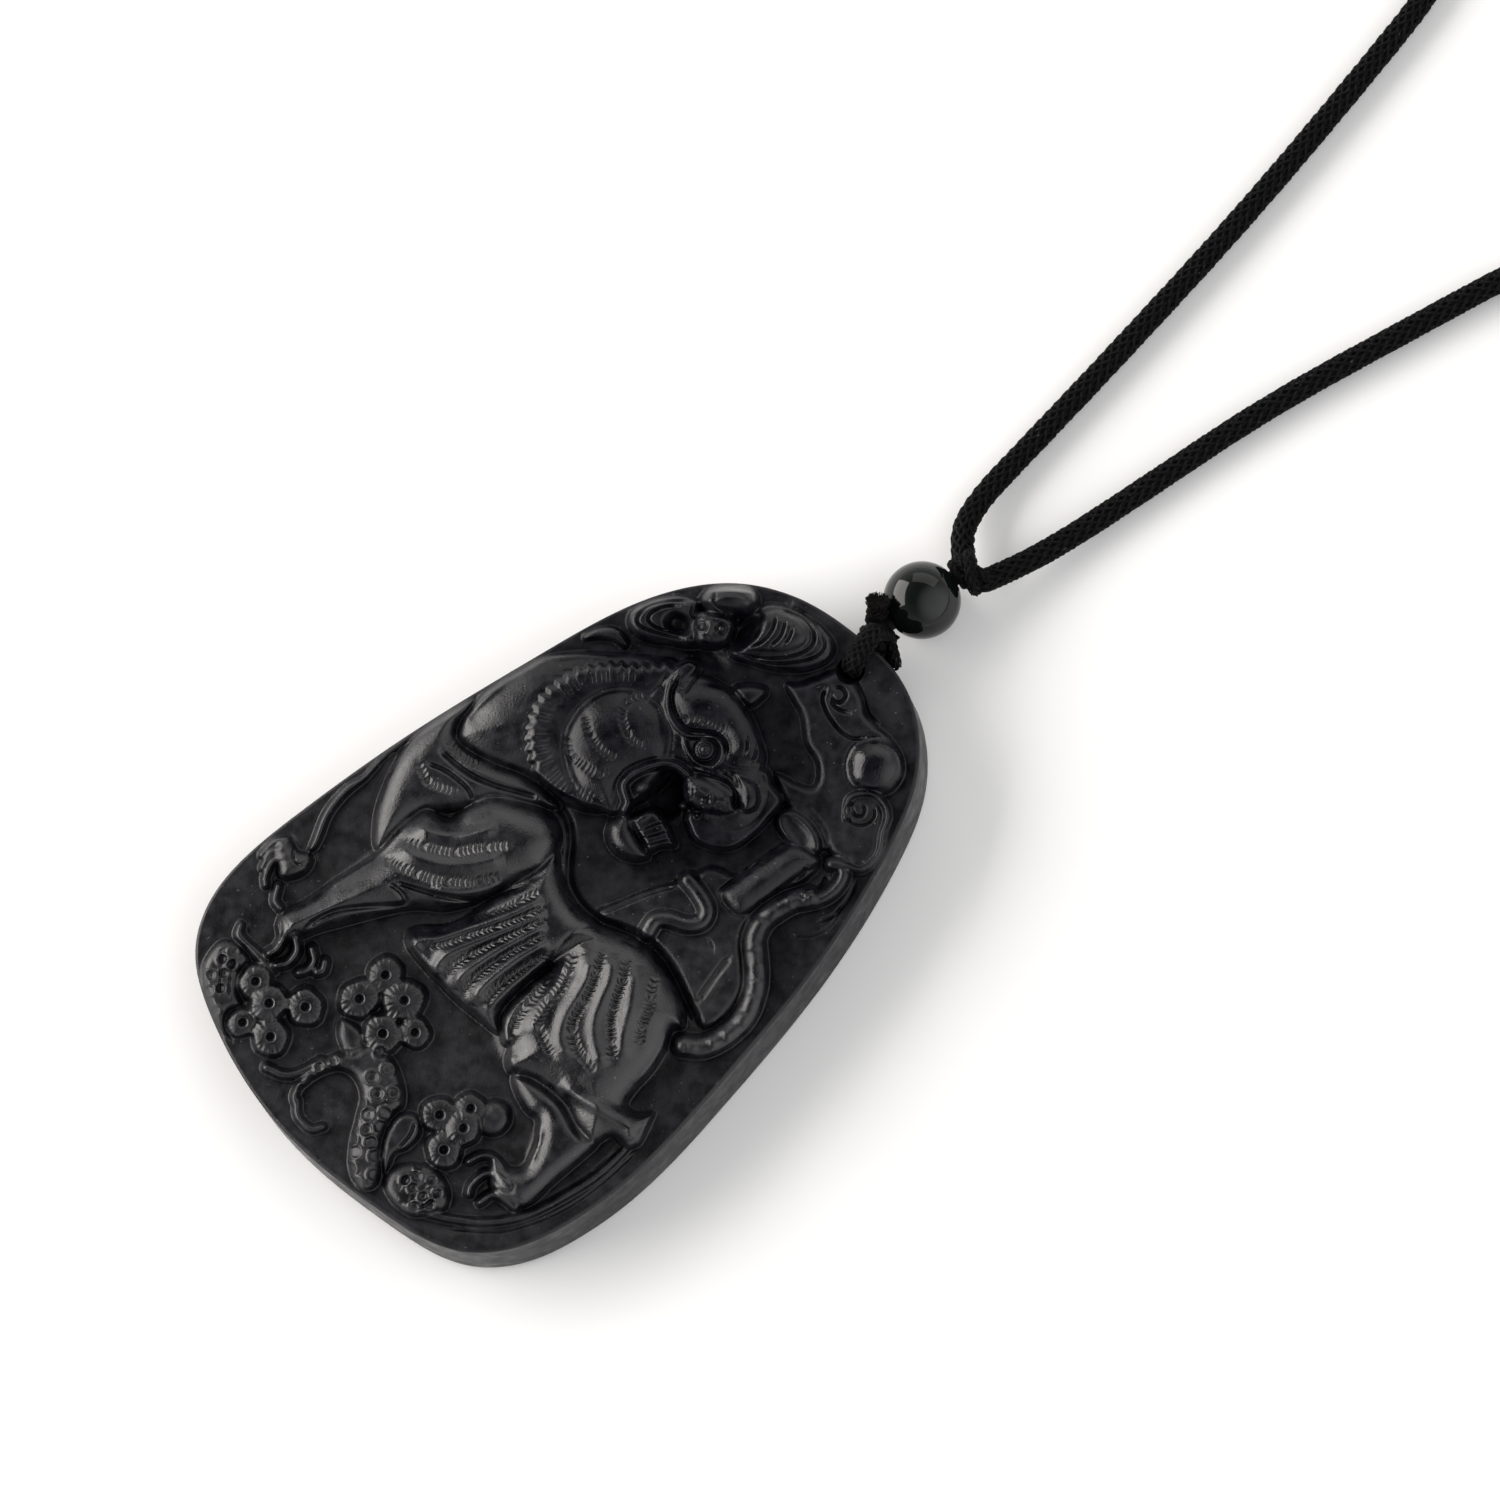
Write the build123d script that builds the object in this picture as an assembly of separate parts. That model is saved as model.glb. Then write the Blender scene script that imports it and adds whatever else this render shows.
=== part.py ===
"""Tiger pendant: a carved stone plaque with its bail cord, wrapped knots, round bead and braided neck cord.

Millimetres, +Z up. The origin is the middle of the plaque's flat back, on the surface that it lies on.
The plaque is drawn upright in its own u, v axes (u to the right, v towards the hole), then turned about Z.
"""
import math
import os

from build123d import *

# Plaque
PLAQUE_LENGTH = 58.2
PLAQUE_WIDTH = 39.5
PLAQUE_THICK = 6.0
PLAQUE_TURN = -48.9
TOP_EDGE_RADIUS = 1.0
BACK_EDGE_RADIUS = 0.7
RELIEF_HEIGHT = 3.0
DOME_STEEPNESS = 3.5
FACE_POINTS = 160
FACE_RINGS = 26
EDGE_STEPS = 2

# Hole for the bail cord, slanted from the face to the top edge
HOLE_DIAMETER = 2.2
HOLE_FROM_TOP = 2.75
HOLE_SIDE = 0.75
HOLE_EXIT_HEIGHT = 2.6
BAIL_LEAN = 17.0

# Bail cord, squeezed flat where it goes through the hole
BAIL_WIDTH = 1.8
BAIL_THICK = 1.1
BAIL_BEND = 0.9
BAIL_RISE_LEAN = 0.25
BAIL_PAST_HOLE = 0.6
BAIL_TUCK = 1.4
BAIL_ENDS_APART = 1.2

# Bead and the knots on either side of it
BEAD_DIAMETER = 6.0
BEAD_BORE = 1.6
BEAD_OVER_TOP = 2.43
BEAD_SIDE = -0.7
THREAD_LEAN = 6.0
CORE_DIAMETER = 1.4
BAIL_KNOT_DIAMETER = 2.9
BAIL_KNOT_LENGTH = 2.1
CUT_END_DIAMETER = 1.7
CUT_END_LENGTH = 2.0
CUT_END_RISE = 0.5
CUT_END_WAY = (-0.72, 0.28, 0.63)
COLLAR_WIDTH = 3.8
COLLAR_DIAMETER = 2.7
COLLAR_TURN = -8.0

# Neck cord and its joining knot
CORD_DIAMETER = 2.0
JOINING_KNOT_DIAMETER = 4.4
JOINING_KNOT_LENGTH = 15.0
JOINING_KNOT_SHARE = 0.48
CORD_CLEAR = 0.1
KNOT_GAP = 0.08
KNOT_ROUNDING = 0.42

HALF_LENGTH = PLAQUE_LENGTH / 2
HALF_WIDTH = PLAQUE_WIDTH / 2

# Outline. Columns: height on the plaque as a share of half its length; left and right half width as shares
# of half its width. The plaque is a little fuller at its lower left than at its lower right.
OUTLINE = [
    (0.945, 0.31, 0.39),
    (0.86, 0.51, 0.53),
    (0.69, 0.69, 0.67),
    (0.34, 0.83, 0.84),
    (-0.09, 0.935, 0.955),
    (-0.43, 0.98, 1.0),
    (-0.60, 0.985, 0.975),
    (-0.77, 0.93, 0.89),
    (-0.86, 0.835, 0.775),
    (-0.945, 0.59, 0.46),
]
OUTLINE_TOP_SIDE = 0.04
OUTLINE_FOOT_SIDE = -0.05

# Carved masses, each an oval dome. Columns: name; centre as shares of half the width and half the length;
# long and short half axes as shares of half the length; turn of the long axis in degrees; height as a share
# of the relief's height.
MASSES = [
    ("shoulder", -0.35, -0.10, 0.22, 0.145, 60, 0.87),
    ("near_foreleg", -0.56, -0.41, 0.22, 0.08, 70, 0.67),
    ("near_paw", -0.62, -0.65, 0.10, 0.055, -35, 0.53),
    ("belly", -0.08, -0.22, 0.22, 0.19, 0, 0.73),
    ("back", 0.15, -0.14, 0.31, 0.14, 0, 0.80),
    ("haunch", 0.43, -0.19, 0.26, 0.21, -60, 1.0),
    ("shin", 0.65, -0.52, 0.17, 0.10, -60, 0.67),
    ("heel", 0.785, -0.41, 0.155, 0.06, 90, 0.53),
    ("hind_paw", 0.66, -0.66, 0.11, 0.055, -10, 0.5),
    ("mane", -0.66, 0.21, 0.31, 0.145, 75, 0.67),
    ("neck", -0.35, 0.27, 0.24, 0.20, 60, 0.7),
    ("cheek", -0.405, 0.33, 0.16, 0.117, 90, 1.0),
    ("head", -0.10, 0.50, 0.17, 0.14, 0, 0.9),
    ("muzzle", 0.06, 0.43, 0.125, 0.11, 0, 0.97),
    ("face_edge", 0.22, 0.44, 0.12, 0.045, 90, 0.6),
    ("jaw", -0.08, 0.22, 0.11, 0.075, -20, 0.6),
    ("right_ear", -0.15, 0.67, 0.05, 0.035, 90, 0.53),
    ("left_ear", -0.39, 0.58, 0.055, 0.035, 90, 0.6),
    ("far_foreleg", -0.81, -0.12, 0.22, 0.07, 104, 0.5),
    ("far_shin", -0.87, -0.34, 0.17, 0.04, 95, 0.4),
    ("far_paw", -0.85, -0.52, 0.065, 0.05, 0, 0.4),
    ("bat_hood", -0.46, 0.80, 0.07, 0.065, 0, 0.8),
    ("bat_snout", -0.465, 0.715, 0.065, 0.048, 90, 0.73),
    ("bat_left_wing", -0.62, 0.66, 0.117, 0.07, 60, 0.47),
    ("bat_right_wing", -0.24, 0.83, 0.115, 0.085, 100, 0.6),
    ("cloud", 0.09, 0.78, 0.14, 0.05, -10, 0.33),
    ("cloud_tail", 0.15, 0.67, 0.10, 0.04, -20, 0.3),
    ("wisp", 0.53, 0.70, 0.09, 0.05, -50, 0.37),
    ("log_end", 0.385, 0.53, 0.075, 0.038, 0, 0.43),
    ("log", 0.445, 0.33, 0.21, 0.09, 85, 0.47),
    ("log_foot", 0.28, 0.14, 0.12, 0.085, 60, 0.4),
    ("ribbon", 0.345, 0.18, 0.10, 0.055, -60, 0.5),
    ("tail_root", 0.78, -0.01, 0.065, 0.035, 60, 0.5),
    ("tail_low", 0.81, 0.09, 0.075, 0.035, 95, 0.5),
    ("tail_bend", 0.74, 0.20, 0.075, 0.035, 140, 0.5),
    ("tail_waist", 0.60, 0.27, 0.062, 0.035, 110, 0.5),
    ("tail_high", 0.58, 0.38, 0.08, 0.035, 85, 0.5),
    ("tail_tuft", 0.64, 0.50, 0.08, 0.045, 70, 0.5),
    ("trunk", 0.16, -0.81, 0.15, 0.058, -55, 0.4),
    ("trunk_top", 0.08, -0.71, 0.08, 0.045, 0, 0.4),
    ("left_branch", -0.59, -0.83, 0.14, 0.045, -35, 0.33),
    ("twig", -0.68, -0.74, 0.10, 0.035, 0, 0.27),
    ("curled_branch", -0.14, -0.84, 0.09, 0.035, 80, 0.27),
    ("bark", 0.49, -0.82, 0.08, 0.05, 60, 0.33),
    ("ledge", 0.86, -0.46, 0.20, 0.048, 87, 0.23),
]

# Round bosses: the moon and the blossoms. Columns: centre as shares of half the width and half the length;
# radius as a share of half the length; height as a share of the relief's height.
BOSSES = [
    (0.385, 0.79, 0.074, 0.53),
    (-0.25, -0.53, 0.035, 0.33),
    (-0.13, -0.53, 0.038, 0.4),
    (-0.25, -0.625, 0.038, 0.37),
    (-0.09, -0.63, 0.045, 0.4),
    (0.015, -0.57, 0.028, 0.33),
    (-0.37, -0.745, 0.045, 0.43),
    (-0.47, -0.81, 0.045, 0.5),
    (-0.57, -0.80, 0.035, 0.43),
    (-0.375, -0.86, 0.045, 0.4),
    (-0.48, -0.895, 0.041, 0.4),
    (0.415, -0.64, 0.045, 0.43),
    (0.38, -0.595, 0.035, 0.33),
    (0.31, -0.665, 0.031, 0.33),
    (0.43, -0.715, 0.045, 0.4),
    (0.455, -0.56, 0.041, 0.37),
]

# Route of the neck cord, from the collar knot round the pendant and back to it, in the turned frame.
CORD_ROUTE = [
    (28.85, 26.1, 2.6),
    (28.2, 28.3, 2.0),
    (29.5, 31.4, 1.3),
    (33.0, 35.3, 1.0),
    (39.5, 42.3, 1.0),
    (49.5, 53.4, 1.0),
    (58.4, 64.2, 1.0),
    (65.9, 73.8, 1.0),
    (65.4, 80.2, 1.0),
    (60.6, 84.2, 1.0),
    (50.0, 85.0, 1.0),
    (29.0, 84.3, 1.0),
    (-5.0, 85.2, 1.0),
    (-38.5, 83.9, 1.0),
    (-50.6, 77.2, 1.0),
    (-57.4, 65.0, 1.0),
    (-58.2, 42.0, 1.0),
    (-57.1, 19.0, 1.0),
    (-57.6, 3.0, 1.0),
    (-58.0, -8.0, 1.15),
    (-58.1, -17.5, 2.4),
    (-57.5, -31.5, 2.4),
    (-55.4, -41.0, 1.1),
    (-49.6, -51.0, 1.0),
    (-38.0, -58.0, 1.0),
    (-14.0, -59.4, 1.0),
    (12.0, -58.2, 1.0),
    (36.0, -59.2, 1.0),
    (62.6, -58.2, 1.0),
    (74.8, -51.6, 1.0),
    (81.4, -39.6, 1.0),
    (82.2, -13.0, 1.0),
    (81.2, 15.0, 1.0),
    (82.2, 34.5, 1.0),
    (81.9, 44.8, 1.0),
    (78.2, 49.0, 1.0),
    (72.7, 50.0, 1.0),
    (64.0, 45.3, 1.0),
    (51.9, 38.7, 1.0),
    (42.6, 32.4, 1.0),
    (36.4, 28.2, 1.3),
    (32.8, 26.0, 2.0),
    (30.4, 24.8, 2.6),
]
ROUTE_CORNER_SHARE = 0.45


def at(u_share, v_share):
    """The point on the plaque at these shares of its half width and half length."""
    return u_share * HALF_WIDTH, v_share * HALF_LENGTH


def outline():
    """The plaque's outline as one smooth closed curve."""
    right = [at(r, v) for v, _, r in OUTLINE]
    left = [at(-l, v) for v, l, _ in OUTLINE]
    points = [at(OUTLINE_TOP_SIDE, 1)] + right + [at(OUTLINE_FOOT_SIDE, -1)] + left[::-1]
    return Spline(points, periodic=True)


def dome_height(u, v, u_share, v_share, long_share, short_share, turn, high):
    """Height over the ground of one carved dome at u, v; below zero outside the dome."""
    u0, v0 = at(u_share, v_share)
    cos, sin = math.cos(math.radians(turn)), math.sin(math.radians(turn))
    along = ((u - u0) * cos + (v - v0) * sin) / (long_share * HALF_LENGTH)
    across = ((v - v0) * cos - (u - u0) * sin) / (short_share * HALF_LENGTH)
    return high * RELIEF_HEIGHT * (1 - math.hypot(along, across) ** DOME_STEEPNESS)


def carved_height(u, v):
    """Height of the carving over the ground at u, v."""
    masses = [dome_height(u, v, *row[1:]) for row in MASSES]
    bosses = [dome_height(u, v, bu, bv, size, size, 0, high) for bu, bv, size, high in BOSSES]
    return max(0, *masses, *bosses)


def face_level(u, v):
    """Level of the carved face at u, v."""
    return PLAQUE_THICK + carved_height(u, v)


def ring(curve, count, inset, share, height):
    """Points round the plaque on the outline drawn smaller: first by inset, then by share."""
    u_scale = (1 - inset / HALF_WIDTH) * share
    v_scale = (1 - inset / HALF_LENGTH) * share
    points = []
    for i in range(count):
        place = curve @ (i / count)
        u, v = place.X * u_scale, place.Y * v_scale
        points.append(Vector(u, v, height(u, v)))
    return points


def band(outer, inner):
    """Triangles between two rings; the inner ring has as many points as the outer, or half as many."""
    step = len(outer) // len(inner)
    triangles = []
    for i in range(len(outer)):
        j = (i + 1) % len(outer)
        here = inner[i // step]
        ahead = inner[(i // step + 1) % len(inner)]
        triangles.append((outer[i], outer[j], here))
        if i % step == step - 1:
            triangles.append((outer[j], ahead, here))
    return triangles


def edge_rings(curve, count):
    """Rings up the plaque's rim, from the back's flat to the face's flat, round the two worked edges."""
    rings = []
    for step in range(EDGE_STEPS + 1):
        angle = math.radians(90 * step / EDGE_STEPS)
        inset = BACK_EDGE_RADIUS * (1 - math.sin(angle))
        level = BACK_EDGE_RADIUS * (1 - math.cos(angle))
        rings.append(ring(curve, count, inset, 1, lambda u, v, z=level: z))
    for step in range(EDGE_STEPS + 1):
        angle = math.radians(90 * step / EDGE_STEPS)
        inset = TOP_EDGE_RADIUS * (1 - math.cos(angle))
        level = PLAQUE_THICK - TOP_EDGE_RADIUS * (1 - math.sin(angle))
        rings.append(ring(curve, count, inset, 1, lambda u, v, z=level: z))
    return rings


def face_rings(curve, count):
    """Rings over the carved face, closing in on its middle with fewer points."""
    rings = []
    for k in range(FACE_RINGS - 1, 0, -1):
        share = k / FACE_RINGS
        if share <= 0.5 * count / FACE_POINTS and count % 2 == 0:
            count //= 2
        rings.append(ring(curve, count, TOP_EDGE_RADIUS, share, face_level))
    return rings


def stone():
    """The carved plate as one faceted solid, before its hole is drilled."""
    curve = outline()
    rings = edge_rings(curve, FACE_POINTS) + face_rings(curve, FACE_POINTS)
    triangles = []
    for outer, inner in zip(rings, rings[1:]):
        triangles += band(outer, inner)
    last = rings[-1]
    middle = Vector(0, 0, face_level(0, 0))
    triangles += [(last[i], last[(i + 1) % len(last)], middle) for i in range(len(last))]
    faces = [Face(Wire.make_polygon(corners, close=True)) for corners in triangles]
    back = Face(Wire.make_polygon(rings[0][::-1], close=True))
    return Solid(Shell(faces + [back]))


def bail_frame():
    """Plane through the hole and the bail cord: local X runs out over the top edge, local Y is up."""
    lean = math.radians(90 + BAIL_LEAN)
    origin = (HOLE_SIDE, HALF_LENGTH - HOLE_FROM_TOP, 0)
    out = (math.cos(lean), math.sin(lean), 0)
    return Plane(origin=origin, x_dir=out, z_dir=(out[1], -out[0], 0))


def hole_reach():
    """Distance from the hole's middle on the face to the top edge, along the bail cord's plane."""
    return HOLE_FROM_TOP / math.cos(math.radians(BAIL_LEAN))


def plaque():
    """The carved plate with the slanted hole for the bail cord."""
    frame = bail_frame()
    start = frame.from_local_coords((0, PLAQUE_THICK, 0))
    end = frame.from_local_coords((hole_reach(), HOLE_EXIT_HEIGHT, 0))
    axis = Plane(origin=start, z_dir=end - start)
    return stone() - axis * Cylinder(HOLE_DIAMETER / 2, 4 * PLAQUE_THICK)


def thread_line():
    """Plane at the bead's centre, its Z along the thread, away from the plaque."""
    lean = math.radians(90 - THREAD_LEAN)
    centre = (BEAD_SIDE, HALF_LENGTH + BEAD_OVER_TOP + BEAD_DIAMETER / 2, BEAD_DIAMETER / 2)
    return Plane(origin=centre, x_dir=(0, 0, 1), z_dir=(math.cos(lean), math.sin(lean), 0))


def bead():
    """The round bead with its bore."""
    bore = Cylinder(BEAD_BORE / 2, 2 * BEAD_DIAMETER)
    return thread_line() * (Sphere(BEAD_DIAMETER / 2) - bore)


def barrel(length, diameter):
    """A closed barrel along Z with round ends."""
    body = Cylinder(diameter / 2, length)
    ends = body.edges().filter_by(GeomType.CIRCLE)
    return fillet(ends, KNOT_ROUNDING * min(length, diameter))


def post(diameter, length):
    """A round bar standing on its own origin along Z."""
    return Cylinder(diameter / 2, length, align=(Align.CENTER, Align.CENTER, Align.MIN))


def bail_knot_place():
    """Distance from the bead's centre back to the middle of the bail knot."""
    return BEAD_DIAMETER / 2 + KNOT_GAP + BAIL_KNOT_LENGTH / 2


def collar_place():
    """Distance from the bead's centre up to the middle of the collar knot."""
    return BEAD_DIAMETER / 2 + KNOT_GAP + COLLAR_DIAMETER / 2


def bail_knot(grown=0.0):
    """The wrapped knot with its cut end; the core through the bead is added by the caller."""
    line = thread_line()
    knot = barrel(BAIL_KNOT_LENGTH + 2 * grown, BAIL_KNOT_DIAMETER + 2 * grown)
    knot = line * Pos(0, 0, -bail_knot_place()) * knot
    root = line.from_local_coords((CUT_END_RISE, 0, -bail_knot_place()))
    cut_end = post(CUT_END_DIAMETER + 2 * grown, CUT_END_LENGTH + grown)
    return knot + Plane(origin=root, z_dir=CUT_END_WAY) * cut_end


def collar_knot(grown=0.0):
    """The knot over the bead, wider than it is long, as it grips both sides of the neck cord's bend."""
    across = Rot(0, 0, COLLAR_TURN) * Rot(0, 90, 0)
    knot = barrel(COLLAR_WIDTH + 2 * grown, COLLAR_DIAMETER + 2 * grown)
    return Pos(thread_line().from_local_coords((0, 0, collar_place()))) * across * knot


def core():
    """The thread through the bead, from the bail knot to the collar knot."""
    start = -bail_knot_place()
    end = BEAD_DIAMETER / 2
    return thread_line() * Pos(0, 0, start) * post(CORE_DIAMETER, end - start)


def bail_path():
    """Middle line of the bail cord in its plane: up round the top edge, into the hole, out at the top."""
    lift = PLAQUE_THICK + BAIL_THICK / 2 + KNOT_GAP
    reach = hole_reach()
    slope = (PLAQUE_THICK - HOLE_EXIT_HEIGHT) / reach
    over_edge = reach + BAIL_THICK / 2 + KNOT_GAP
    into_hole = (PLAQUE_THICK - lift) / slope
    beyond = reach + BAIL_PAST_HOLE
    low_end = BEAD_DIAMETER / 2 - BAIL_ENDS_APART * 3 / 4
    corners = [
        (over_edge + BAIL_RISE_LEAN, low_end + BAIL_ENDS_APART),
        (over_edge, lift),
        (into_hole, lift),
        (beyond, PLAQUE_THICK - slope * beyond),
        (beyond + BAIL_TUCK, low_end),
    ]
    over_radius = TOP_EDGE_RADIUS + BAIL_THICK / 2 + KNOT_GAP
    return FilletPolyline(*corners, radius=[over_radius, BAIL_BEND, BAIL_BEND])


def bail_loop():
    """The bail cord, from the knot over the top edge, down through the hole and back to the knot."""
    path = bail_frame() * bail_path()
    start = Plane(origin=path @ 0, x_dir=bail_frame().z_dir, z_dir=path % 0)
    section = start * SlotOverall(BAIL_WIDTH, BAIL_THICK)
    tube = sweep(section, path=path)
    return tube - bail_knot(KNOT_GAP)


def cord_radii():
    """One radius for each corner of the neck cord's route, as large as its two runs allow."""
    points = [Vector(*p) for p in CORD_ROUTE]
    radii = []
    for before, corner, after in zip(points, points[1:], points[2:]):
        turn = (corner - before).get_angle(after - corner)
        shorter = min((corner - before).length, (after - corner).length)
        radii.append(ROUTE_CORNER_SHARE * shorter / math.tan(math.radians(turn / 2)))
    return radii


def neck_cord():
    """The neck cord as a plain tube, and its middle line."""
    path = FilletPolyline(*CORD_ROUTE, radius=cord_radii())
    tube = sweep(Plane(origin=path @ 0, z_dir=path % 0) * Circle(CORD_DIAMETER / 2), path=path)
    return tube, path


def joining_knot(path):
    """The knot that joins the loop at the back of the neck, bent as the cord runs through it."""
    half = JOINING_KNOT_LENGTH / 2 / path.length
    line = path.trim(JOINING_KNOT_SHARE - half, JOINING_KNOT_SHARE + half)
    start = Plane(origin=line @ 0, z_dir=line % 0)
    outer = start * Circle(JOINING_KNOT_DIAMETER / 2)
    inner = start * Circle(CORD_DIAMETER / 2 + CORD_CLEAR)
    return sweep(outer - inner, path=line)


def write(node, solid):
    """Write one node's solid."""
    export_step(solid, os.path.join("parts", node + ".step"))


def main():
    """Build every node and write it."""
    os.makedirs("parts", exist_ok=True)
    turn = Rot(0, 0, PLAQUE_TURN)
    cord, path = neck_cord()
    write("plaque", turn * plaque())
    write("bead", turn * bead())
    write("bail_knot", turn * (bail_knot() + core()))
    write("bail_loop", turn * bail_loop())
    write("collar_knot", turn * collar_knot())
    write("neck_cord", cord - turn * collar_knot(KNOT_GAP))
    write("joining_knot", joining_knot(path))
    print("cord radii", [round(r, 1) for r in cord_radii()])
    expected = path.length * math.pi * CORD_DIAMETER**2 / 4
    print("cord length", round(path.length, 1), "tube volume share", round(cord.volume / expected, 4))


main()
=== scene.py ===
"""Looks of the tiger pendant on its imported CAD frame: carved stone, bead, knots and braided neck cord.

The plaque is carved in its own upright axes, in millimetres: u to its right, v towards the hole, and height
over its ground. Paths and outlines are in millimetres too. Meshes are in metres, in the CAD frame.
"""
import math
import random

import bpy
import numpy as np
from mathutils import Matrix, Vector


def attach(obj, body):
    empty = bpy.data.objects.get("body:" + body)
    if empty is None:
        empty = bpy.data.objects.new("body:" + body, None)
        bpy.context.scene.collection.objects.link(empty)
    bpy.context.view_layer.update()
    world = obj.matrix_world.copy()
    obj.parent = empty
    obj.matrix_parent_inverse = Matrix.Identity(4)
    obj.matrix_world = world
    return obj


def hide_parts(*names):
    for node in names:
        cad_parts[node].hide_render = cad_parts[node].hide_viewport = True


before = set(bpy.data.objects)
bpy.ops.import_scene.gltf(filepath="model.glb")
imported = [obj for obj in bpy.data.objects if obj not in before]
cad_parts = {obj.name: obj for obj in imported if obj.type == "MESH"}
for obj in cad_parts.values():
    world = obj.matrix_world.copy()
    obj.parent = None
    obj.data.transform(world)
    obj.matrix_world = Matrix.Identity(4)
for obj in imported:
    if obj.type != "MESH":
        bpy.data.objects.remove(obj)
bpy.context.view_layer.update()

MM = 0.001
SEED = 7
UP = np.array([0.0, 0.0, 1.0])

# Camera
VIEW_ELEVATION = 74.0
VIEW_TURN = -62.0
VIEW_WIDTH = 114.65
VIEW_RIGHT = 12.153
VIEW_UP = 12.191
VIEW_HEIGHT = 3.0
CAMERA_DISTANCE = 1200.0
SENSOR_WIDTH = 36.0
CLIP_RANGE = (0.05, 20.0)

# Lights, room and floor. Columns of the softboxes: name, place, aim, size, power.
SOFTBOXES = [
    ("key", (-1.05, 0.25, 0.5), (0, 0, 0), (1.5, 0.95), 25.0),
    ("top", (0.3, 1.2, 0.8), (0.01, 0, 0), (1.7, 0.9), 5.0),
]
LIGHT_COLOUR = (1.0, 0.965, 0.93)
ROOM_LOW, ROOM_HIGH = (0.95, 0.95, 0.95), (0.10, 0.10, 0.10)
ROOM_STRENGTH = 0.8
GLOW_WAY = (0.72, -0.3, 0.62)
FLOOR_HALF = 3000.0
FLOOR_DARK, FLOOR_LIGHT = (0.95, 0.95, 0.95), (0.97, 0.97, 0.97)

# Colours
STONE_DARK, STONE_LIGHT = (0.0012, 0.0011, 0.0024), (0.0088, 0.0082, 0.0118)
STONE_DUST = (0.05, 0.05, 0.052)
BEAD_DARK, BEAD_LIGHT = (0.0015, 0.0024, 0.002), (0.005, 0.008, 0.0068)
CORD_DARK, CORD_LIGHT = (0.0016, 0.0016, 0.002), (0.006, 0.006, 0.0068)
SINGED_DARK, SINGED_LIGHT = (0.0014, 0.0012, 0.0012), (0.006, 0.0048, 0.0044)
CORD_DUST = (0.055, 0.055, 0.06)

# Plaque: its turn in the CAD frame, its edges, the carving's grid, and how far the relief leans with height
PLAQUE_TURN = -48.9
PLAQUE_THICK = 6.0
TOP_EDGE_RADIUS = 0.3
BACK_EDGE_RADIUS = 0.7
GRID_STEP = 0.08
EDGE_STEP = 0.18
EDGE_FADE = (0.05, 0.8)
OUTLINE_LEVEL_SLACK = 0.02
OUTLINE_LEAST_GAP = 0.2
OUTLINE_STEPS = (1.2, 0.4)
LEAN = (0.2793, -0.0645)

# The plate's rim: a band that dips under the carved face, the wall, the rounded back edge and the back
RIM_BAND = 0.05
RIM_DEPTHS = (0.9, 0.7, 0.5, 0.3, 0.24, 0.18, 0.13, 0.09, 0.06, 0.035, 0.015, 0.004, 0.0)
RIM_SINK = 0.15
WALL_RINGS = 20
BACK_EDGE_RINGS = 6
BACK_RING_SHARES = (0.7, 0.35, 0.001)
FAR_AWAY = 1000.0

# Hole for the bail cord, from the face out through the top edge
HOLE_DIAMETER = 2.2
HOLE_PLACE = (0.75, 26.35)
HOLE_EXIT_HEIGHT = 2.6
HOLE_REACH = 2.876
MOUTH_SHIFT = 0.28
MOUTH_LONG = 1.15
HOLE_SIDES = 40
HOLE_RINGS = 12
HOLE_TRIES = 4
TOP_OUTLINE_FROM = 20.0

# Bail cord: the lean of its plane, its size, its gap to the plate, its bends, its two ends and its braid
BAIL_LEAN = 17.0
BAIL_WIDTH = 1.9
BAIL_THICK = 1.3
BAIL_GAP = 0.08
BAIL_BEND = 0.9
BAIL_PAST_HOLE = 0.6
BAIL_UNDER_THREAD = 0.9
BAIL_UPPER_END = (0.9, 1.5)
BAIL_LOWER_END = 1.6
BAIL_LAY = 5.0
BAIL_STEP = 0.12

# Bead, and the thread through it
BEAD_DIAMETER = 6.0
BEAD_BORE = 1.6
BEAD_PLACE = (-0.7, 34.53)
BEAD_SIDES = 96
BEAD_RINGS = 72
BORE_EDGE = 0.12
BORE_PROFILE = [(0.08, 0.0), (0.02, 0.05)]
THREAD_LEAN = 6.0
THREAD_ENDS = (-5.3, 3.2)
THREAD_RADIUS = 0.66
THREAD_SIDES = 12
THREAD_STEP = 0.5

# Neck cord, and the steps along the braids of the cord and the knots
CORD_DIAMETER = 2.0
CORD_STEP = 0.45
COLLAR_STEP = 0.14
FINE_STEP = 0.11
RING_STEPS = 40
CORNER_STEPS = 10
WRAP_LAY = 3.2

# Joining knot: a thread coiled round a sleeve, at a share of the cord's length
JOINING_KNOT_DIAMETER = 4.4
JOINING_KNOT_LENGTH = 15.0
JOINING_KNOT_SHARE = 0.48
JOINING_KNOT_END = 0.6
JOINING_KNOT_WIRE = 0.55
JOINING_KNOT_PITCH = 0.98
JOINING_KNOT_SLEEVE = 0.45
JOINING_KNOT_SIDES = 20
COIL_FRAME_STEP = 0.25
COIL_STEP = 0.22
COIL_SIDES = 10

# Rounded ends of plain tubes
CAP_BULGE = 0.6
CAP_SHARES = (0.5, 0.85, 1.0)

# A braid's strands, as shares of the cord's radius
STRAND_THICK = 0.20
STRAND_WAVE = 0.065
STRAND_WIDTH = 1.02
STRAND_ACROSS = (-1.0, -0.45, 0.45, 1.0)
CROSSING_STEEPNESS = 2.2
CORE_SIDES = 8
PLACE_WIDTH = 0.3

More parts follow.
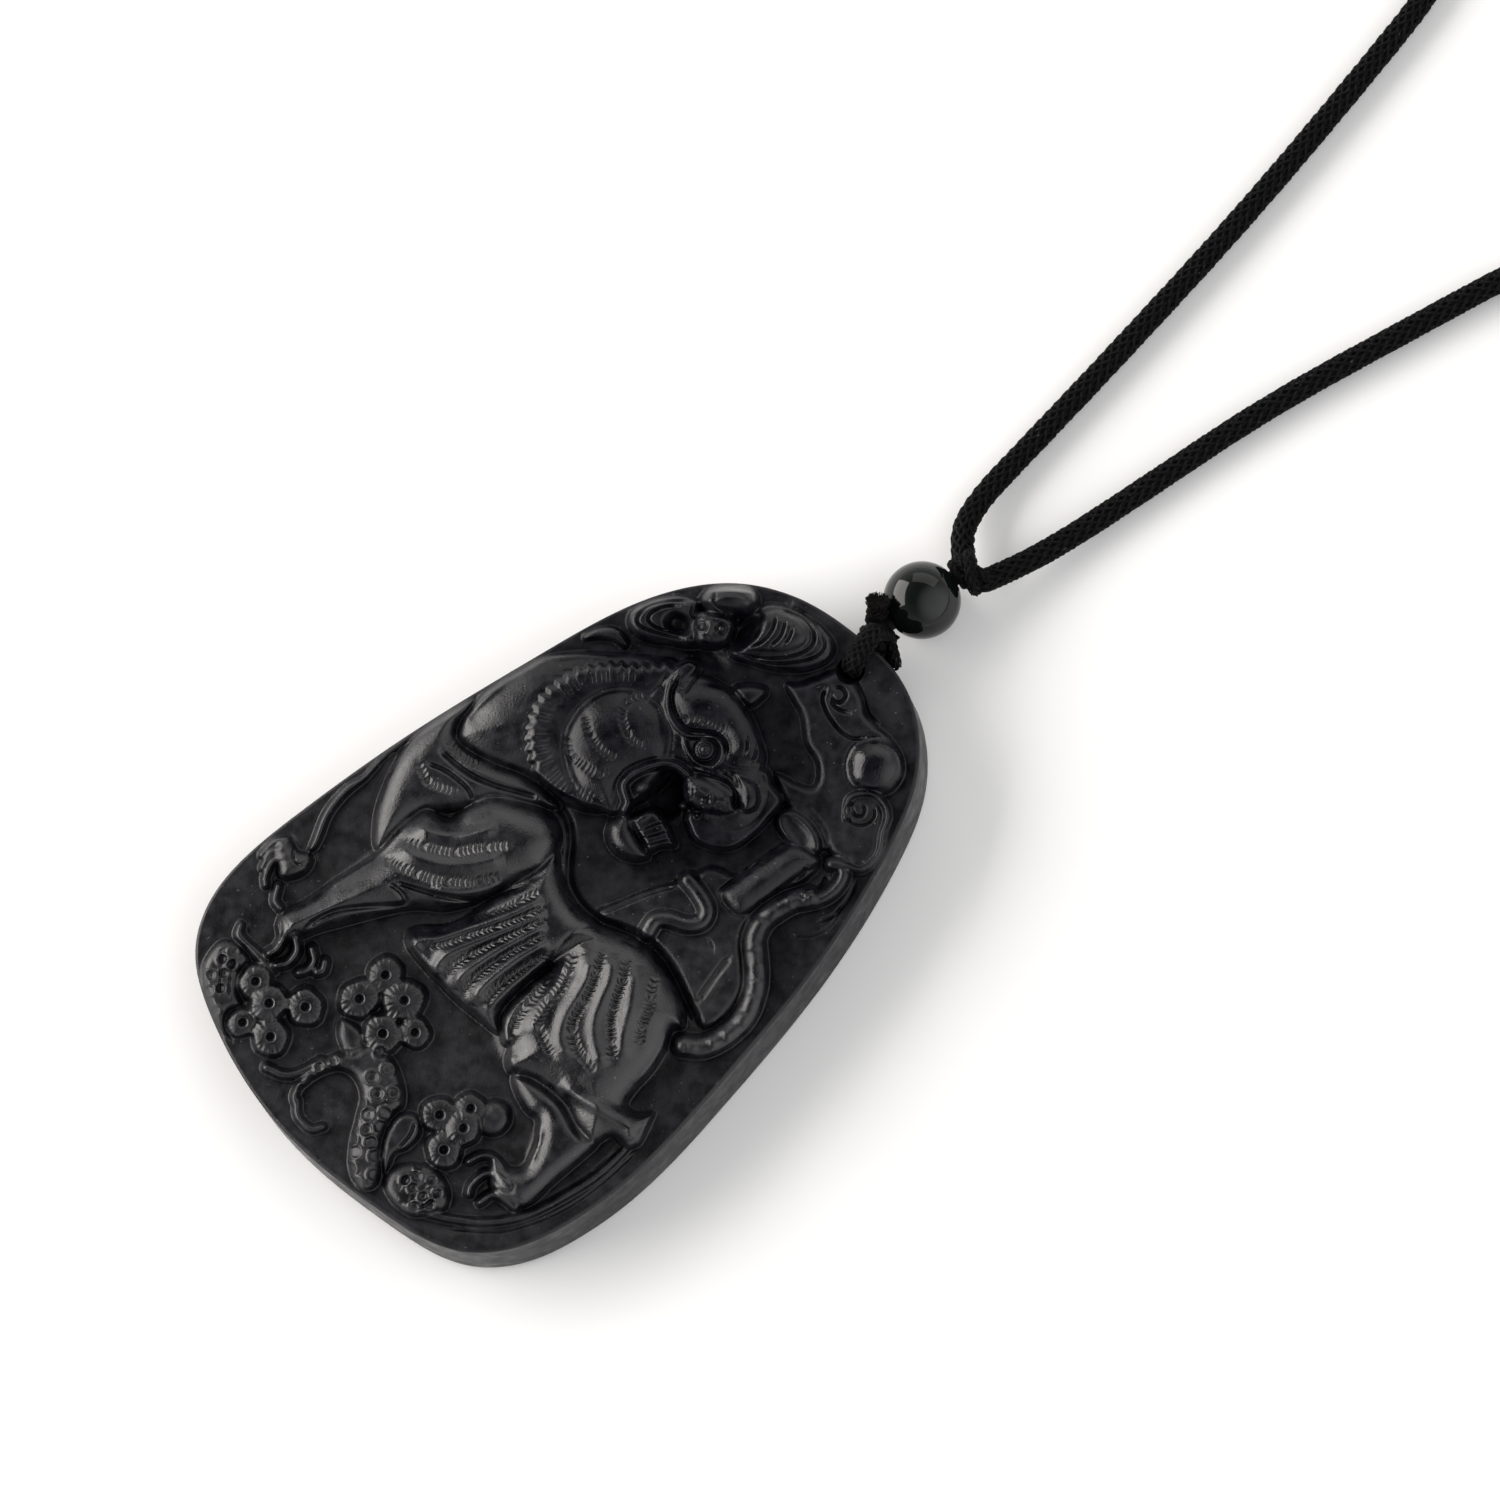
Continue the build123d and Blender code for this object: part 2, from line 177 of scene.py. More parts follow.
# Turns of the knots. Columns: distance from the bead, side, size, thickness, two tilts.
BAIL_WRAPS = [
    (-3.45, 0.15, 0.85, 0.36, 0.10, 0.10),
    (-3.92, 0.30, 0.98, 0.38, -0.12, -0.15),
    (-4.42, 0.30, 1.02, 0.38, 0.15, 0.12),
    (-4.90, 0.25, 0.94, 0.36, -0.08, -0.10),
]
COLLAR_WRAPS = [
    (3.42, -0.02, 0.92, 0.42, 0.05, 0.05),
    (4.02, 0.15, 1.16, 0.47, -0.14, -0.12),
    (4.62, 0.50, 1.14, 0.47, -0.45, 0.10),
]
BAIL_WRAP_FLATNESS = 0.95
COLLAR_WRAP_FLATNESS = 0.88

# Cords that lie over the turns. Columns: half width, half thickness, lay of the braid, line. Each point of a
# line is given as distance from the bead, side, and height over the thread.
BAIL_LOOSE = [
    (0.42, 0.36, 3.2, [(-3.35, -0.8, 0.85), (-3.8, -0.15, 1.38), (-4.3, 0.75, 1.38), (-4.8, 1.4, 0.7)]),
    (0.52, 0.5, 3.6, [(-3.9, 0.8, -0.1), (-4.0, 1.7, -0.35), (-4.3, 2.4, -0.7), (-4.45, 2.65, -1.25),
        (-4.5, 2.0, -1.5), (-4.6, 1.2, -1.0)]),
]
COLLAR_LOOSE = [
    (0.6, 0.52, 4.0, [(4.9, -0.75, 0.2), (4.75, -0.3, 1.0), (4.35, 0.5, 1.25), (3.9, 1.3, 0.95),
        (3.75, 1.75, 0.2), (4.1, 1.5, -0.5)]),
]

# The neck cord's bend in the collar knot, in the same way, and how far the bend reaches along the cord
COLLAR_BEND = [(4.12, -0.25, 0.0), (4.02, 0.25, 0.0), (4.2, 0.85, -0.1), (4.55, 1.25, -0.3)]
COLLAR_LEAD = (0.25, 0.2)
COLLAR_SIZE = (0.98, 0.95)

# Cut end of the bail cord: its root and tip, its binding rings' places and radii, and its fibres. Sizes are
# half width, half thickness and lay.
CUT_END_ROOT = (-3.9, -0.35, 0.6)
CUT_END_TIP = (-2.95, -1.15, 2.75)
CUT_END_SIZE = (0.74, 0.74, 4.0)
CUT_END_RINGS = [(0.2, 0.66), (0.52, 0.6)]
CUT_END_RING_SIZE = (0.3, 0.3, 2.6)
FIBRES = 210
FIBRE_RADIUS = 0.035
FIBRE_SIDES = 5

# Route of the neck cord, from the collar knot round the pendant and back to it.
CORD_ROUTE = [
    (28.85, 26.1, 2.6),
    (28.2, 28.3, 2.0),
    (29.5, 31.4, 1.3),
    (33.0, 35.3, 1.0),
    (39.5, 42.3, 1.0),
    (49.5, 53.4, 1.0),
    (58.4, 64.2, 1.0),
    (65.9, 73.8, 1.0),
    (65.4, 80.2, 1.0),
    (60.6, 84.2, 1.0),
    (50.0, 85.0, 1.0),
    (29.0, 84.3, 1.0),
    (-5.0, 85.2, 1.0),
    (-38.5, 83.9, 1.0),
    (-50.6, 77.2, 1.0),
    (-57.4, 65.0, 1.0),
    (-58.2, 42.0, 1.0),
    (-57.1, 19.0, 1.0),
    (-57.6, 3.0, 1.0),
    (-58.0, -8.0, 1.15),
    (-58.1, -17.5, 2.4),
    (-57.5, -31.5, 2.4),
    (-55.4, -41.0, 1.1),
    (-49.6, -51.0, 1.0),
    (-38.0, -58.0, 1.0),
    (-14.0, -59.4, 1.0),
    (12.0, -58.2, 1.0),
    (36.0, -59.2, 1.0),
    (62.6, -58.2, 1.0),
    (74.8, -51.6, 1.0),
    (81.4, -39.6, 1.0),
    (82.2, -13.0, 1.0),
    (81.2, 15.0, 1.0),
    (82.2, 34.5, 1.0),
    (81.9, 44.8, 1.0),
    (78.2, 49.0, 1.0),
    (72.7, 50.0, 1.0),
    (64.0, 45.3, 1.0),
    (51.9, 38.7, 1.0),
    (42.6, 32.4, 1.0),
    (36.4, 28.2, 1.3),
    (32.8, 26.0, 2.0),
    (30.4, 24.8, 2.6),
]

# Carved masses from the back to the front. Columns: part, level at its foot, level at its top, width of its
# rounded shoulder, closed contour.
MASSES = [
    ("scenery", 0.0, 0.8, 0.7, [(0.2, 26.0), (1.5, 26.2), (3, 25.9), (4, 25.3), (5.3, 25.3), (7, 25.5),
        (8.6, 25.2), (9.7, 24.3), (10.1, 23), (9.9, 21.9), (11.2, 21.3), (12.2, 20), (13, 19.2),
        (13.4, 18.2), (13.3, 17), (12.5, 16.4), (11, 16.2), (9, 16.2), (6, 16), (4, 16.5), (3, 17.1),
        (4.5, 17.8), (5.6, 18.4), (5.4, 19.2), (4.3, 20), (2.7, 20.3), (0.9, 21.4), (-0.7, 21.8),
        (-1.9, 22.2), (-1.2, 23), (-0.6, 24.5), (-0.2, 25.6)]),
    ("scenery", 0.2, 1.7, 1.9, [(7.6, 25.3), (9.1, 24.7), (9.8, 23.1), (9.1, 21.6), (7.6, 20.9),
        (6.1, 21.6), (5.4, 23.1), (6.1, 24.7)]),
    ("scenery", 0.0, 0.8, 0.8, [(2.0, 0.0), (2.6, 2), (3.3, 4), (4.3, 6), (4.8, 7.4), (5.0, 8.4),
        (5.7, 9.1), (7.1, 9.8), (7.4, 12), (7.7, 14.2), (8.6, 15.0), (9.8, 15.3), (10.8, 15.1), (11, 13.6),
        (10.6, 11.5), (10.5, 9), (11.2, 7), (13, 5.6), (14.4, 4.4), (15, 2.5), (15, 0.8), (14.2, 0),
        (12, 0.6), (9, 1.4), (6.5, 1.2), (4.5, 0.4), (3, -0.3)]),
    ("scenery", 0.5, 1.5, 1.6, [(7.4, 9.8), (7.6, 12), (7.9, 14), (8.6, 15.0), (9.8, 15.3), (10.6, 15.0),
        (10.3, 13), (10.1, 10), (9.8, 8), (8.6, 7.6), (7.4, 8)]),
    ("scenery", 0.3, 1.2, 0.7, [(5.5, 15.5), (6.1, 16.4), (7.6, 16.8), (9, 16.6), (9.9, 16.0), (9.9, 15.3),
        (8.8, 14.9), (7.8, 14.3), (6.4, 14.4), (5.6, 14.9)]),
    ("tiger", 0.2, 2.0, 4.0, [(-8.6, 17.2), (-10.5, 15.9), (-12.7, 13.8), (-14.2, 12.2), (-15.4, 10.7),
        (-16.2, 9.5), (-16.7, 8), (-16.9, 6), (-16.9, 4.2), (-16.6, 2.8), (-16.3, 1.5), (-15.8, 0.8),
        (-15.2, 0.6), (-13.6, 0.9), (-11.5, 1.8), (-9.5, 2.8), (-7.5, 3.3), (-5.6, 3.7), (-3.4, 5.4),
        (-2, 9), (-3, 14), (-6, 16.5)]),
    ("tiger", 0.0, 1.6, 2.0, [(-17.2, 3.6), (-17.9, 1.5), (-18.0, -0.5), (-17.8, -2.5), (-17.3, -4.3),
        (-16.4, -6.2), (-15.2, -8), (-13.4, -9.6), (-12.7, -9), (-12.6, -5.2), (-11.5, -3.5), (-9.5, -0.5),
        (-7.5, 1.5), (-6, 3.1), (-8, 3.1), (-10, 2.6), (-12, 1.6), (-14, 0.8), (-15.3, 0.6), (-16.2, 1.2),
        (-16.7, 2.8)]),
    ("tiger", 0.0, 0.8, 0.45, [(-18.3, -1.5), (-18.5, -4), (-18.2, -6.6), (-18.5, -8), (-18.4, -9.5),
        (-18.0, -11), (-17.0, -12.8), (-16.4, -13.8), (-16.2, -13.0), (-16.6, -12.0), (-17.4, -10.5),
        (-17.8, -8.6), (-17.8, -6.5), (-18.1, -4.5), (-18.0, -2.6)]),
    ("tiger", 0.0, 1.2, 1.0, [(-18.8, -14.8), (-18.2, -14.0), (-17.0, -14.2), (-16.2, -13.6),
        (-15.5, -13.9), (-15.2, -15), (-15.7, -16.2), (-16.4, -16.6), (-17.2, -16.2), (-18.2, -15.9)]),
    ("tiger", 0.6, 2.5, 2.4, [(-3.6, 0.6), (-2.2, -0.2), (-0.5, -0.85), (1, -1.05), (3, -0.7), (4.7, -0.9),
        (3.4, -4), (2.8, -6), (2.9, -9), (3.4, -11), (4.4, -11.9), (2, -12.4), (0, -12.7), (-3, -12.8),
        (-5.5, -12.7), (-6.4, -12), (-6.1, -11), (-5, -9.7), (-4.3, -8), (-4, -5), (-3.8, -2)]),
    ("tiger", 0.2, 2.8, 2.9, [(-8.5, 1.1), (-9.8, 0.3), (-10.6, -0.8), (-10.9, -2.5), (-11, -3.9),
        (-12.4, -4.4), (-13, -5), (-13.1, -7), (-12.8, -9.5), (-12.9, -11), (-13.3, -13.5), (-13.6, -16),
        (-14.1, -18.2), (-13.6, -19.2), (-12.4, -19.8), (-11.6, -18.6), (-11, -17), (-10, -15), (-9, -13),
        (-8, -11.2), (-7.0, -9.9), (-5.8, -8.8), (-4.8, -7), (-4.1, -5), (-3.5, -3), (-3.0, -1),
        (-3.5, 0.7), (-4.2, 1.6), (-5.3, 2.1), (-6.5, 2.1), (-7.5, 1.7)]),
    ("tiger", 0.3, 1.9, 1.5, [(8.2, -12.3), (10, -11.6), (12, -11.4), (14, -11.8), (15.9, -11.6),
        (16.15, -13), (16.1, -15.5), (16.2, -18), (15.9, -19.3), (14.6, -20), (13.4, -20.1), (12.2, -19.4),
        (11.4, -18.4), (12.8, -18.0), (13.5, -17.2), (13.2, -16), (12.6, -15), (11.9, -14.4), (11.3, -14.0),
        (10.5, -14.2), (8.8, -13.9), (7.6, -13.2)]),
    ("tiger", 0.3, 3.0, 4.0, [(2.6, -5), (3.05, -6), (3, -9), (3.3, -10.7), (4.3, -11.6), (5.2, -12.1),
        (5.7, -12), (6.3, -12.8), (7, -13.2), (7.7, -13), (8.6, -12.4), (10, -12), (12, -11.8), (14, -12.2),
        (15.8, -12.2), (16.2, -10.6), (17.6, -10.4), (18.2, -9.4), (17.6, -8), (17.1, -6.9), (16.6, -7.5),
        (16.0, -8.0), (15.2, -8.1), (14.8, -7), (14.5, -5), (13.9, -3.2), (13.1, -1.8), (13.5, -0.9),
        (12, 0.1), (10, 0.6), (8, 0.9), (6, 0.8), (4.5, 0.1), (3, -0.8), (2.2, -2.5)]),
    ("tiger", 0.8, 1.7, 0.5, [(5.0, 16.1), (5.4, 14.5), (5.6, 13), (5.4, 11), (4.5, 9.9), (3, 9.1),
        (1.6, 9.4), (0.8, 10), (0, 13), (2, 16.6), (3.6, 16.3)]),
    ("tiger", 1.1, 2.15, 0.5, [(-1.7, 6.3), (-1.5, 7.5), (-0.9, 8.5), (0.0, 8.5), (1.6, 8.0), (2.2, 7.7),
        (1.5, 6.7), (1.2, 5.8), (0.1, 6.0)]),
    ("tiger", 0.8, 2.3, 1.3, [(-2.8, 6.8), (-2.6, 5.8), (-2.6, 5.0), (-1.9, 4.2), (-0.8, 3.9), (0.2, 4.1),
        (1.2, 4.8), (1.5, 5.7), (0.2, 6.0), (-0.9, 6.3), (-1.8, 6.7)]),
    ("tiger", 1.2, 2.5, 2.4, [(-8.0, 16.6), (-6.8, 17.8), (-5, 18.6), (-3.5, 18.9), (-1.5, 18.5), (0, 18),
        (1.5, 17.3), (2.4, 16.2), (3.8, 15.6), (4.6, 14), (4.4, 12.3), (3.2, 11.2), (1.4, 10.6), (0, 10.7),
        (-1.0, 11.4), (-2, 12), (-3.4, 11.4), (-4.2, 10.0), (-4.6, 8.4), (-6, 8), (-8, 13.5)]),
    ("tiger", 1.7, 2.9, 2.2, [(-7.7, 15.6), (-7.2, 15.0), (-6.2, 14.4), (-5.1, 14.1), (-4.1, 14.2),
        (-3.3, 14.9), (-2.4, 15.6), (-1.4, 15.6), (-0.6, 15.0), (0.4, 15.3), (1.4, 16.4), (1.2, 17.2),
        (0, 17.9), (-1.5, 18.4), (-3.5, 18.7), (-5.2, 18.3), (-6.4, 17.2)]),
    ("tiger", 1.9, 3.0, 1.1, [(-1.4, 11.7), (-1.1, 12.5), (0.3, 13.2), (2.1, 13.6), (3.2, 13.2),
        (3.0, 12.2), (1.6, 11.1), (0.1, 10.6), (-0.8, 11.0)]),
    ("tiger", 1.9, 2.95, 0.9, [(0.9, 14.6), (1.5, 15.1), (2.6, 15.4), (3.6, 15.0), (4.1, 14.3), (3.9, 13.4),
        (3.1, 13.3), (2.4, 13.8), (1.8, 14.3)]),
    ("tiger", 1.5, 3.0, 3.3, [(-6.2, 13.9), (-7.9, 13.8), (-9.6, 13.1), (-10.8, 11.5), (-11.1, 9.5),
        (-10.5, 7.5), (-9.1, 6.0), (-6.5, 5.0), (-4.3, 5.3), (-3.0, 6.0), (-4.1, 7.6), (-4.4, 8.7),
        (-4.0, 9.9), (-3.4, 11.2), (-4.2, 12.6), (-5.2, 13.4)]),
    ("tiger", 1.1, 2.3, 0.5, [(-8.4, 17.8), (-8.65, 16.6), (-8.3, 15.4), (-7.7, 15.0), (-7.2, 15.5),
        (-7.0, 16.6), (-7.1, 17.8), (-7.6, 18.3)]),
    ("tiger", 0.7, 1.8, 0.7, [(-4.3, 19.0), (-4.1, 19.7), (-3.4, 20.5), (-2.5, 20.9), (-2.1, 20.2),
        (-2.3, 18.9), (-3.3, 18.7)]),
    ("scenery", 0.2, 1.5, 0.9, [(-11.4, 21.5), (-12.9, 20.4), (-14.0, 18.7), (-14.3, 17.4), (-13.9, 16.4),
        (-12.8, 16.1), (-11.6, 16.5), (-10.1, 17.7), (-8.7, 18.9), (-9.3, 19.7), (-10.2, 20.4),
        (-10.8, 21.0)]),
    ("scenery", 0.0, 0.9, 0.5, [(-15.3, 13.2), (-14.9, 14.4), (-14, 15.4), (-12.5, 15.4), (-12.3, 14.8),
        (-13.4, 14.5), (-14.3, 13.7), (-14.9, 12.9)]),
    ("scenery", 0.3, 1.5, 0.8, [(-7.9, 24.6), (-7.1, 25.8), (-4.8, 26.9), (-2.8, 27.2), (-1.5, 26.9),
        (-1.0, 25.8), (-1.6, 24.1), (-3.1, 22.4), (-5.2, 21.1), (-6.3, 20.5), (-7.2, 21.0), (-7.7, 22.0),
        (-8.0, 23.2)]),
    ("scenery", 1.1, 2.1, 1.1, [(-6.9, 25.3), (-5.2, 26.2), (-3.9, 26.2), (-3.2, 25.4), (-3.6, 24.0),
        (-5.0, 22.4), (-6.4, 21.3), (-7.3, 22), (-7.4, 23.6)]),
    ("scenery", 0.4, 3.0, 1.7, [(-11.4, 21.6), (-11.6, 22.8), (-11.2, 24.0), (-10.3, 24.9), (-9.2, 25.2),
        (-8.2, 24.9), (-7.8, 24.0), (-8.3, 23.0), (-9.2, 22.1), (-10.3, 21.4)]),
    ("scenery", 0.8, 2.3, 0.9, [(-10.7, 20.7), (-10.2, 21.6), (-9.3, 22.4), (-8.5, 22.6), (-7.6, 22.0),
        (-7.2, 21.2), (-7.5, 20.3), (-8.1, 19.5), (-8.7, 19.1), (-9.2, 19.2), (-9.9, 19.8)]),
    ("scenery", 0.0, 1.1, 1.0, [(-1.5, -19.6), (0.5, -19.2), (2.6, -19.9), (3.8, -20.9), (3.9, -22.2),
        (4.8, -24), (6.2, -25.2), (7.2, -26.6), (6.4, -27.6), (4.8, -27.2), (3.4, -26), (2.2, -24.4),
        (1, -22.9), (-0.4, -22.4), (-1.6, -22.8), (-2.3, -24.2), (-2.4, -26), (-1.6, -27.3), (-2.6, -27.0),
        (-3.3, -25.4), (-3.3, -23.6), (-2.8, -22), (-2.4, -20.8)]),
    ("scenery", 0.0, 0.8, 0.8, [(-15.6, -23.2), (-14.6, -22.4), (-13, -22.4), (-12.6, -23.6),
        (-11.6, -24.7), (-10.6, -25.2), (-10.9, -26.2), (-10.2, -27.3), (-9, -27.7), (-10.6, -27.9),
        (-12.4, -27.4), (-14, -26.4), (-15.2, -25.2)]),
    ("scenery", 0.0, 0.8, 0.5, [(-15.8, -21.1), (-15.3, -20.9), (-14.8, -21.4), (-13.4, -21.3),
        (-11.6, -21.1), (-10.6, -21.6), (-11.8, -22.1), (-13.6, -22.2), (-15.2, -22.2)]),
    ("scenery", 0.0, 0.9, 0.9, [(8.6, -22.4), (10, -22.2), (11.4, -22.6), (12.2, -23.8), (11.6, -25),
        (10.8, -26), (9.2, -26.4), (7.6, -26.1), (7.0, -25), (7.4, -23.6)]),
    ("scenery", 0.0, 0.8, 0.6, [(4.2, -21.2), (5.2, -20.6), (6.4, -21.4), (6.6, -22.8), (6.3, -23.9),
        (7.0, -25.4), (6.0, -25.0), (4.8, -23.9), (4.1, -22.4)]),
    ("scenery", 0.0, 0.9, 1.1, [(8, -15.4), (9.2, -14.9), (10.3, -15.6), (10.5, -16.8), (9.8, -17.7),
        (8.6, -17.9), (7.8, -16.8)]),
    ("scenery", 0.0, 0.7, 0.8, [(-4.7, -20.1), (-3.6, -19.6), (-2.2, -19.8), (-1.8, -21.2), (-2.8, -21.6),
        (-4.0, -21.1)]),
]

# The mane over the back and neck: its jagged edge, and the smooth line under the cheek that closes it.
MANE_EDGE = [(-8.8, 16.6), (-10.2, 14.9), (-11.8, 13.2), (-13.0, 11.6), (-13.5, 10.1), (-13.6, 8.6),
             (-13.5, 7.2), (-12.4, 5.4), (-10.9, 4.2), (-9.2, 3.6)]
MANE_UNDER = [(-8, 3.5), (-6, 4.1), (-4, 5.2), (-2.6, 6.5), (-3, 12), (-6, 16)]
MANE_LEVELS = (1.75, 2.25, 0.6)
MANE_AFTER = 5
MANE_TOOTH = 0.85
MANE_REACH = 0.42
TOOTH_TIP_SHARE = 0.65

# The tail's middle line, which is a rope with shallow grooves across it.
TAIL = [(14.5, -1.9), (15.6, -0.8), (16.1, 1), (16.0, 2.8), (15.4, 4.2), (14.4, 5.5), (13, 6.6), (11.8, 7.5),
        (11.2, 8.8), (11.2, 10), (11.5, 11.5), (12.2, 12.8)]

# Round ropes laid over the ground. Columns: part, level at the foot, half width, height, middle line.
ROPES = [
    ("scenery", 0.75, 0.72, 1.6, [(4.9, 6.7), (6.2, 6.65), (7.6, 6.3), (8.1, 5.4), (7.5, 4.4), (6.2, 3.6),
        (5.6, 2.8), (5.9, 1.7)]),
    ("scenery", 0.1, 0.92, 1.6, TAIL),
    ("scenery", 0.1, 0.6, 1.2, [(11.9, 12.1), (12.7, 13), (13.0, 14.4), (12.7, 15.6), (12.0, 16.2),
        (11.3, 15.7)]),
    ("tiger", 0.2, 0.3, 0.8, [(-18.2, -14.3), (-18.75, -15.2), (-18.6, -16.5)]),
    ("tiger", 0.2, 0.3, 0.9, [(-17.9, -14.7), (-18.3, -15.8), (-17.8, -17.1)]),
    ("tiger", 0.2, 0.3, 0.9, [(-17.2, -14.9), (-17.7, -16), (-17.2, -17.3), (-16.6, -17.8)]),
    ("tiger", 0.2, 0.35, 1.2, [(-14.4, -18.1), (-15.2, -18.0), (-15.9, -17.1)]),
    ("tiger", 0.3, 0.42, 1.5, [(-13.4, -18.9), (-12.6, -19.4), (-12.2, -20.3), (-12.3, -21)]),
    ("tiger", 0.3, 0.4, 1.4, [(-11.9, -18.7), (-11.0, -19.3), (-10.75, -20.4), (-11.2, -21.2)]),
    ("tiger", 0.3, 0.38, 1.3, [(-10.4, -18.3), (-9.5, -18.8), (-9.3, -19.6), (-9.6, -20.3)]),
    ("tiger", 0.3, 0.42, 1.1, [(-8.9, -18.2), (-8.5, -18.8), (-8.7, -19.2)]),
    ("tiger", 0.3, 0.32, 1.2, [(12.9, -18.3), (11.6, -18.3), (10.8, -18.9), (10.5, -20)]),
    ("tiger", 0.3, 0.34, 1.3, [(14, -19.0), (12.7, -19.1), (12.0, -19.7), (12.0, -21), (12.4, -21.6)]),
    ("tiger", 0.3, 0.34, 1.2, [(15.6, -19.6), (14.2, -19.9), (13.6, -20.4), (13.5, -21.4)]),
    ("scenery", 0.1, 0.4, 0.8, [(-3.2, -23.4), (-3.5, -25), (-4.2, -26.2), (-5.6, -26.9)]),
    ("scenery", 0.1, 0.35, 0.7, [(-2.0, -26.8), (-1, -27.5), (0.4, -27.4), (0.9, -26.6)]),
    ("scenery", 0.0, 0.35, 0.5, [(17.7, -10), (17.9, -13), (17.5, -16), (16.6, -19.4), (15, -22),
        (12.8, -24), (10, -25.9)]),
    ("scenery", 0.6, 0.24, 1.2, [(9.3, 18.8), (8.3, 19.9), (8.5, 20.8), (9.3, 21.6), (10.5, 21.7),
        (11.4, 21.2), (12.1, 20.1), (13.0, 19.1), (13.3, 18.0), (13.1, 17.0), (12.2, 16.5)]),
    ("tiger", 2.0, 0.4, 2.95, [(-1.5, 12.0), (-2.5, 11.8), (-3.4, 11.1), (-4.0, 10.0), (-4.3, 8.9),
        (-4.2, 7.9), (-3.6, 7.5), (-2.9, 7.2), (-2.6, 6.6)]),
    ("scenery", 0.4, 0.22, 0.5, [(5.6, 16.3), (6.4, 16.8), (7.6, 17), (9, 16.8), (10, 16.2)]),
]

# Blossoms. Columns: centre, radius, height.
BLOSSOMS = [
    (-5.0, -15.4, 1.5, 1.0),
    (-2.5, -15.6, 1.7, 1.25),
    (-4.9, -18.1, 1.65, 1.1),
    (-1.6, -18.5, 1.6, 1.15),
    (0.0, -16.6, 1.3, 1.0),
    (-7.2, -21.6, 1.55, 1.3),
    (-11.3, -23.2, 1.4, 1.25),
    (-7.2, -25.1, 1.55, 1.2),
    (-9.5, -26.0, 1.2, 1.0),
    (-9.3, -23.5, 1.55, 1.5),
    (7.4, -17.2, 1.3, 1.05),
    (6.2, -19.3, 1.5, 1.1),
    (8.5, -20.8, 1.5, 1.2),
    (8.2, -18.6, 1.45, 1.35),
]
PETALS, PETAL_DEPTH = 19, 0.2
LOBES, LOBE_DEPTH = 5, 0.1
MIDDLE_RADIUS, MIDDLE_DEPTH = 0.27, 0.75

